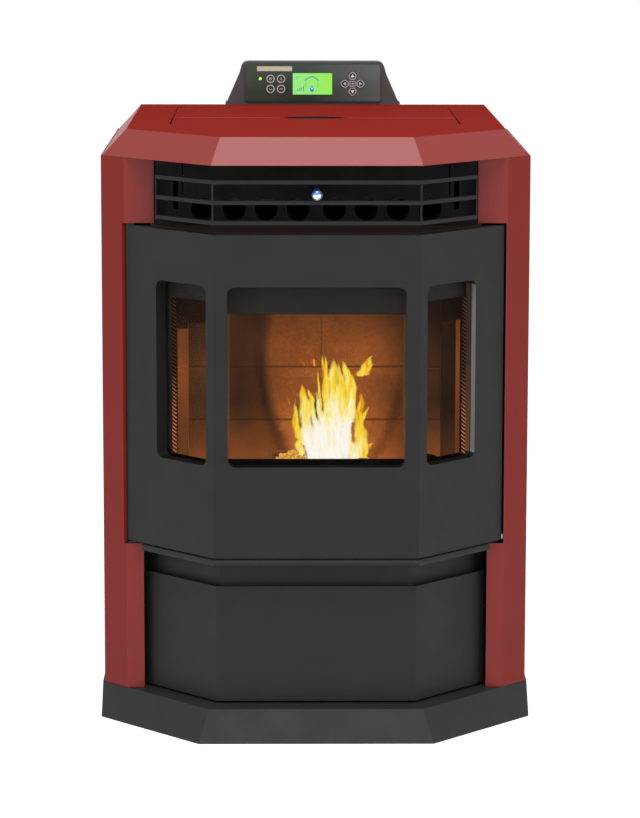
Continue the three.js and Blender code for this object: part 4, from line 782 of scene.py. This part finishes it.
def ember_material():
    made = Finish("embers", linear(40, 20, 12), 0.9)
    cracks = made.spread(made.noise(260, 4, 0.7), 0.35, 0.65)
    made.glow(made.ramp(cracks, (0.0, linear(150, 74, 20)), (0.5, linear(226, 160, 48)),
                        (1.0, linear(250, 222, 120))), 1.0)
    return made.material


EMBERS = 190
HEAPED = 60  # so many of them lie in a heap at the left end, over the rim of the pot
PELLET_PROFILE = ((-1, 2.2), (-0.86, 3), (0.86, 3), (1, 2.2))  # place along a pellet, and radius


def make_embers():
    """Burning pellets, heaped in the burn pot."""
    draw = random.Random(7)
    bm = bmesh.new()
    for count in range(EMBERS):
        if count < HEAPED:
            x, y = draw.uniform(-54, -18), draw.uniform(156, 184)
            z = 375 + 10 * (1 - abs(x + 34) / 20) + draw.uniform(-3, 2)
        else:
            x, y = draw.uniform(-54, 54), draw.uniform(160, 226)
            edge = max(abs(x) / 58, abs(y - 193) / 38)
            z = 334 + (1 - edge) * 40 + draw.uniform(-2, 3)
        heading = Matrix.Rotation(draw.uniform(0, math.pi), 3, "Z")
        turn = heading @ Matrix.Rotation(draw.uniform(-0.7, 0.7), 3, "X")
        length = draw.uniform(5, 9)
        rings = []
        for along, size in PELLET_PROFILE:
            points = [turn @ Vector((side, along * length, up)) for side, up in circle((0, 0), size, 8)]
            rings.append([placed(x + point.x, y + point.y, z + point.z) for point in points])
        put_loft(bm, rings)
    piece_from("embers", bm, ember_material(), "casing")


# ---------------------------------------------------------------- small pieces, in millimetres
def flat(bm, outline, face):
    """A thin shape on a face that looks to the front."""
    put_prism(bm, outline, face - INK_THICK, face)


def stroke(bm, start, end, width, face):
    """A straight line of even width."""
    x, z = end[0] - start[0], end[1] - start[1]
    length = math.hypot(x, z)
    ox, oz = -z / length * width / 2, x / length * width / 2
    flat(bm, [(start[0] + ox, start[1] + oz), (start[0] - ox, start[1] - oz),
              (end[0] - ox, end[1] - oz), (end[0] + ox, end[1] + oz)], face)


def closed_line(bm, points, width, face):
    for start, end in zip(points, points[1:] + points[:1]):
        stroke(bm, start, end, width, face)


def ring(bm, centre, radius, width, face, sides=28):
    """A flat ring."""
    rows = []
    for size, depth in ((radius, face - INK_THICK), (radius, face),
                        (radius - width, face), (radius - width, face - INK_THICK)):
        rows.append([bm.verts.new(placed(x, depth, z)) for x, z in circle(centre, size, sides)])
    for a, b in zip(rows, rows[1:] + rows[:1]):
        for k in range(sides):
            bm.faces.new((a[k], a[(k + 1) % sides], b[(k + 1) % sides], b[k]))


def disc(bm, centre, radius, face):
    flat(bm, circle(centre, radius, 16), face)


def key_symbol(bm, name, centre):
    """A generic sign: a target, an upright bar, a bow or a level bar."""
    x, z = centre
    if name == "key_round_1":
        ring(bm, centre, 2.3, 0.7, KEY_FACE)
        disc(bm, centre, 0.7, KEY_FACE)
    elif name == "key_round_2":
        stroke(bm, (x, z - 2.4), (x, z + 2.4), 1.1, KEY_FACE)
    elif name == "key_round_3":
        angles = [math.radians(200 + 28 * k) for k in range(7)]
        bow = [(x + 2.2 * math.cos(angle), z + 1 + 2.2 * math.sin(angle)) for angle in angles]
        for start, end in zip(bow, bow[1:]):
            stroke(bm, start, end, 0.8, KEY_FACE)
    else:
        stroke(bm, (x - 2.4, z), (x + 2.4, z), 1.1, KEY_FACE)


def turned_pad(points, degrees):
    """Points beside the middle of the pad, turned and set in their place."""
    angle = math.radians(degrees)
    return [(PAD_CENTRE[0] + x * math.cos(angle) - z * math.sin(angle),
             PAD_CENTRE[1] + x * math.sin(angle) + z * math.cos(angle)) for x, z in points]


def print_keys():
    ink = ink_and_highlight("key_ink", linear(206, 208, 204))
    white = ink_and_highlight("key_white", linear(255, 255, 255))
    for name, centre in ROUND_KEYS.items():
        bm = bmesh.new()
        ring(bm, centre, ROUND_KEY_RADIUS, 1.3, KEY_FACE)
        key_symbol(bm, name, centre)
        piece_from(name + "_print", bm, ink, name)
    half = [(2.6, 7.0), (4.6, 9.6), (6.1, 12.3), (5.1, 14.6), (2.6, 17.2), (0.0, 18.8)]
    petal = half + [(-x, z) for x, z in reversed(half[:-1])]
    arrow = [(-3.0, 10.6), (3.0, 10.6), (0, 15.2)]
    square = [(-3.9, -3.9), (3.9, -3.9), (3.9, 3.9), (-3.9, 3.9)]
    for name, degrees in PAD_KEYS.items():
        bm = bmesh.new()
        closed_line(bm, turned_pad(petal, degrees), 1.1, KEY_FACE)
        piece_from(name + "_print", bm, ink, name)
        bm = bmesh.new()
        flat(bm, turned_pad(arrow, degrees), KEY_FACE - OVERPRINT)
        piece_from(name + "_arrow", bm, white if degrees % 180 == 0 else ink, name)
    bm = bmesh.new()
    closed_line(bm, turned_pad(square, 0), 1.0, KEY_FACE)
    disc(bm, PAD_CENTRE, 1.4, KEY_FACE)
    piece_from("key_pad_centre_print", bm, ink, "key_pad_centre")


def flame_sign(size):
    """A drop with its point up, under the roof of the house."""
    drop = []
    for k in range(20):
        angle = 2 * math.pi * k / 20
        narrow = math.sin(angle / 2) ** 2.4
        drop.append((-1.3 + size * 5.0 * math.sin(angle) * narrow, 890.4 + size * 6.2 * math.cos(angle)))
    return drop


def print_display():
    """A house with a flame under its roof, and a row of bars."""
    face = DISPLAY_FACE
    teal = plain_glow("display_teal", linear(30, 120, 130), 0.6)
    blue = plain_glow("display_blue", linear(30, 90, 190), 0.8)
    pale = plain_glow("display_pale", linear(190, 240, 220), 0.9)
    bm = bmesh.new()
    stroke(bm, (-13.1, 902.7), (-1.3, 909.5), 1.5, face)
    stroke(bm, (-1.3, 909.5), (9.8, 902.7), 1.5, face)
    for x in (-11, 8):
        stroke(bm, (x, 892), (x, 902), 0.5, face)
    for k in range(5):
        x = -27.2 + 3.1 * k
        stroke(bm, (x, 885.5), (x, 887.0 + 1.6 * k), 1.3, face)
    stroke(bm, (-28, 908), (-20, 908), 0.6, face)
    stroke(bm, (-28, 905), (-23, 905), 0.6, face)
    piece_from("display_lines", bm, teal, "casing")
    for name, size, material, depth in (("display_flame", 1.0, blue, face),
                                        ("display_core", 0.3, pale, face - OVERPRINT)):
        bm = bmesh.new()
        flat(bm, flame_sign(size), depth)
        piece_from(name, bm, material, "casing")


def make_plate():
    """The bare plate at the top left of the control panel."""
    (left, low), (right, high) = PLATE_LOW, PLATE_HIGH
    bm = bmesh.new()
    flat(bm, [(left, low), (right, low), (right, high), (left, high)], FASCIA_FACE)
    piece_from("bare_plate", bm, ink_and_highlight("pale_gold", linear(206, 203, 172)), "casing")


def make_housing_sides():
    """The housing widens in a straight line down to the deck."""
    material = moulded_plastic("housing_side", 78, 0.7)
    outline = [(112.5, 925), (139.6, 863), (140.0, 858.5), (127.5, 858.5), (127.5, 868), (112.5, 922)]
    for name, side in (("housing_side_left", -1), ("housing_side_right", 1)):
        bm = bmesh.new()
        put_prism(bm, [(side * x, z) for x, z in outline], HOUSING_FRONT, HOUSING_REAR)
        piece_from(name, bm, material, "casing")


def make_lid_edge():
    """A painted highlight along the front edge of the lid, where it catches the light."""
    low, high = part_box("hopper_lid")
    bm = bmesh.new()
    for side in (-1, 1):
        left, right = sorted((side * LID_EDGE_FROM, side * LID_EDGE_TO))
        put_box(bm, (left, low.y - LID_EDGE_PROUD, high.z - LID_EDGE_SIZE),
                (right, low.y + LID_EDGE_SIZE, high.z + LID_EDGE_PROUD))
    piece_from("lid_edge", bm, ink_and_highlight("lid_edge_highlight", linear(196, 74, 64)), "lid")


def make_ropes():
    """Twisted ropes behind the upright edges of the side windows."""
    for side, ((x, y), glow) in ROPES.items():
        bm = bmesh.new()
        rings = []
        for i in range(ROPE_RINGS):
            z = ROPE_FOOT + ROPE_STEP * i
            section = []
            for k in range(ROPE_SIDES):
                angle = 2 * math.pi * k / ROPE_SIDES
                size = ROPE_RADIUS * (0.82 + 0.18 * math.cos(3 * angle + z * 0.95))
                section.append(placed(x + size * math.cos(angle), y + size * math.sin(angle), z))
            rings.append(section)
        put_loft(bm, rings)
        name = "window_rope_" + side
        piece_from(name, bm, rope_weave(name, 30, glow), "door", smooth=True)


# ---------------------------------------------------------------- floor, world and lamps
FLOOR_HALF = 60
FLOOR_DROP = 0.0005  # the floor lies this little below the feet
FLOOR_SHOWN = 0.82  # how much of the floor's white shows without light
DAYLIGHT = 0.34


def seen_directly(tree):
    """1 for rays from the camera and for those that a shiny or clear surface sends on."""
    path = tree.nodes.new("ShaderNodeLightPath")
    seen = path.outputs["Is Camera Ray"]
    for name in ("Is Glossy Ray", "Is Transmission Ray"):
        either = tree.nodes.new("ShaderNodeMath")
        either.operation = "MAXIMUM"
        tree.links.new(seen, either.inputs[0])
        tree.links.new(path.outputs[name], either.inputs[1])
        seen = either.outputs[0]
    return seen


def stretched_to(tree, value, low, high):
    """Low where the value is 0 and high where it is 1."""
    made = tree.nodes.new("ShaderNodeMapRange")
    tree.links.new(value, made.inputs["Value"])
    made.inputs["To Min"].default_value = low
    made.inputs["To Max"].default_value = high
    return made.outputs["Result"]


def make_floor():
    bm = bmesh.new()
    corners = ((-1, -1), (1, -1), (1, 1), (-1, 1))
    bm.faces.new([bm.verts.new((x * FLOOR_HALF, y * FLOOR_HALF, -FLOOR_DROP)) for x, y in corners])
    mesh = bpy.data.meshes.new("floor")
    bm.to_mesh(mesh)
    bm.free()
    floor = bpy.data.objects.new("floor", mesh)
    scene.collection.objects.link(floor)
    material = bpy.data.materials.new("floor")
    material.use_nodes = True
    tree = material.node_tree
    shader = tree.nodes["Principled BSDF"]
    shader.inputs["Base Color"].default_value = (0.6, 0.6, 0.6, 1)
    shader.inputs["Roughness"].default_value = 0.9
    shader.inputs["Specular IOR Level"].default_value = 0.0
    shader.inputs["Emission Color"].default_value = (1, 1, 1, 1)
    shown = stretched_to(tree, seen_directly(tree), 0.0, FLOOR_SHOWN)
    tree.links.new(shown, shader.inputs["Emission Strength"])
    mesh.materials.append(material)


def make_world():
    world = bpy.data.worlds.new("world")
    scene.world = world
    world.use_nodes = True
    tree = world.node_tree
    background = tree.nodes["Background"]
    background.inputs["Color"].default_value = (1, 1, 1, 1)
    shown = stretched_to(tree, seen_directly(tree), DAYLIGHT, 1.0)
    tree.links.new(shown, background.inputs["Strength"])


def softbox(name, place, aim, width, height, power):
    data = bpy.data.lights.new(name, "AREA")
    data.shape = "RECTANGLE"
    data.size, data.size_y = width, height
    data.energy = power
    lamp = bpy.data.objects.new(name, data)
    place, aim = Vector(place), Vector(aim)
    turn = (aim - place).to_track_quat("-Z", "Y").to_matrix().to_4x4()
    lamp.matrix_world = Matrix.Translation(place) @ turn
    scene.collection.objects.link(lamp)


def make_lamps():
    softbox("key", (0, -1.55, 3.05), (0, -0.33, 0.84), 1.7, 1.1, 42)
    softbox("top", (0, 0.25, 3.0), (0, 0.05, 0.86), 1.5, 1.5, 14)
    softbox("left", (-2.6, -2.4, 1.2), (0, -0.2, 0.5), 1.4, 1.8, 19)
    softbox("right", (2.6, -2.4, 1.2), (0, -0.2, 0.5), 1.4, 1.8, 20)
    softbox("front", (0, -4.4, 0.9), (0, -0.3, 0.4), 2.4, 1.4, 12)
    data = bpy.data.lights.new("fire", "POINT")
    data.energy = 0.4
    data.color = (1.0, 0.55, 0.22)
    data.shadow_soft_size = 0.04
    lamp = bpy.data.objects.new("fire", data)
    lamp.location = FIRE + Vector((0, -0.03, 0.09))
    lamp.visible_camera = False
    lamp.visible_transmission = False
    lamp.visible_glossy = False
    scene.collection.objects.link(lamp)


# ---------------------------------------------------------------- the scene
make_camera()
dress_solids()
make_flames()
make_embers()
print_keys()
print_display()
make_plate()
make_ropes()
make_housing_sides()
make_lid_edge()
make_floor()
make_world()
make_lamps()
scene.view_settings.view_transform = "Standard"
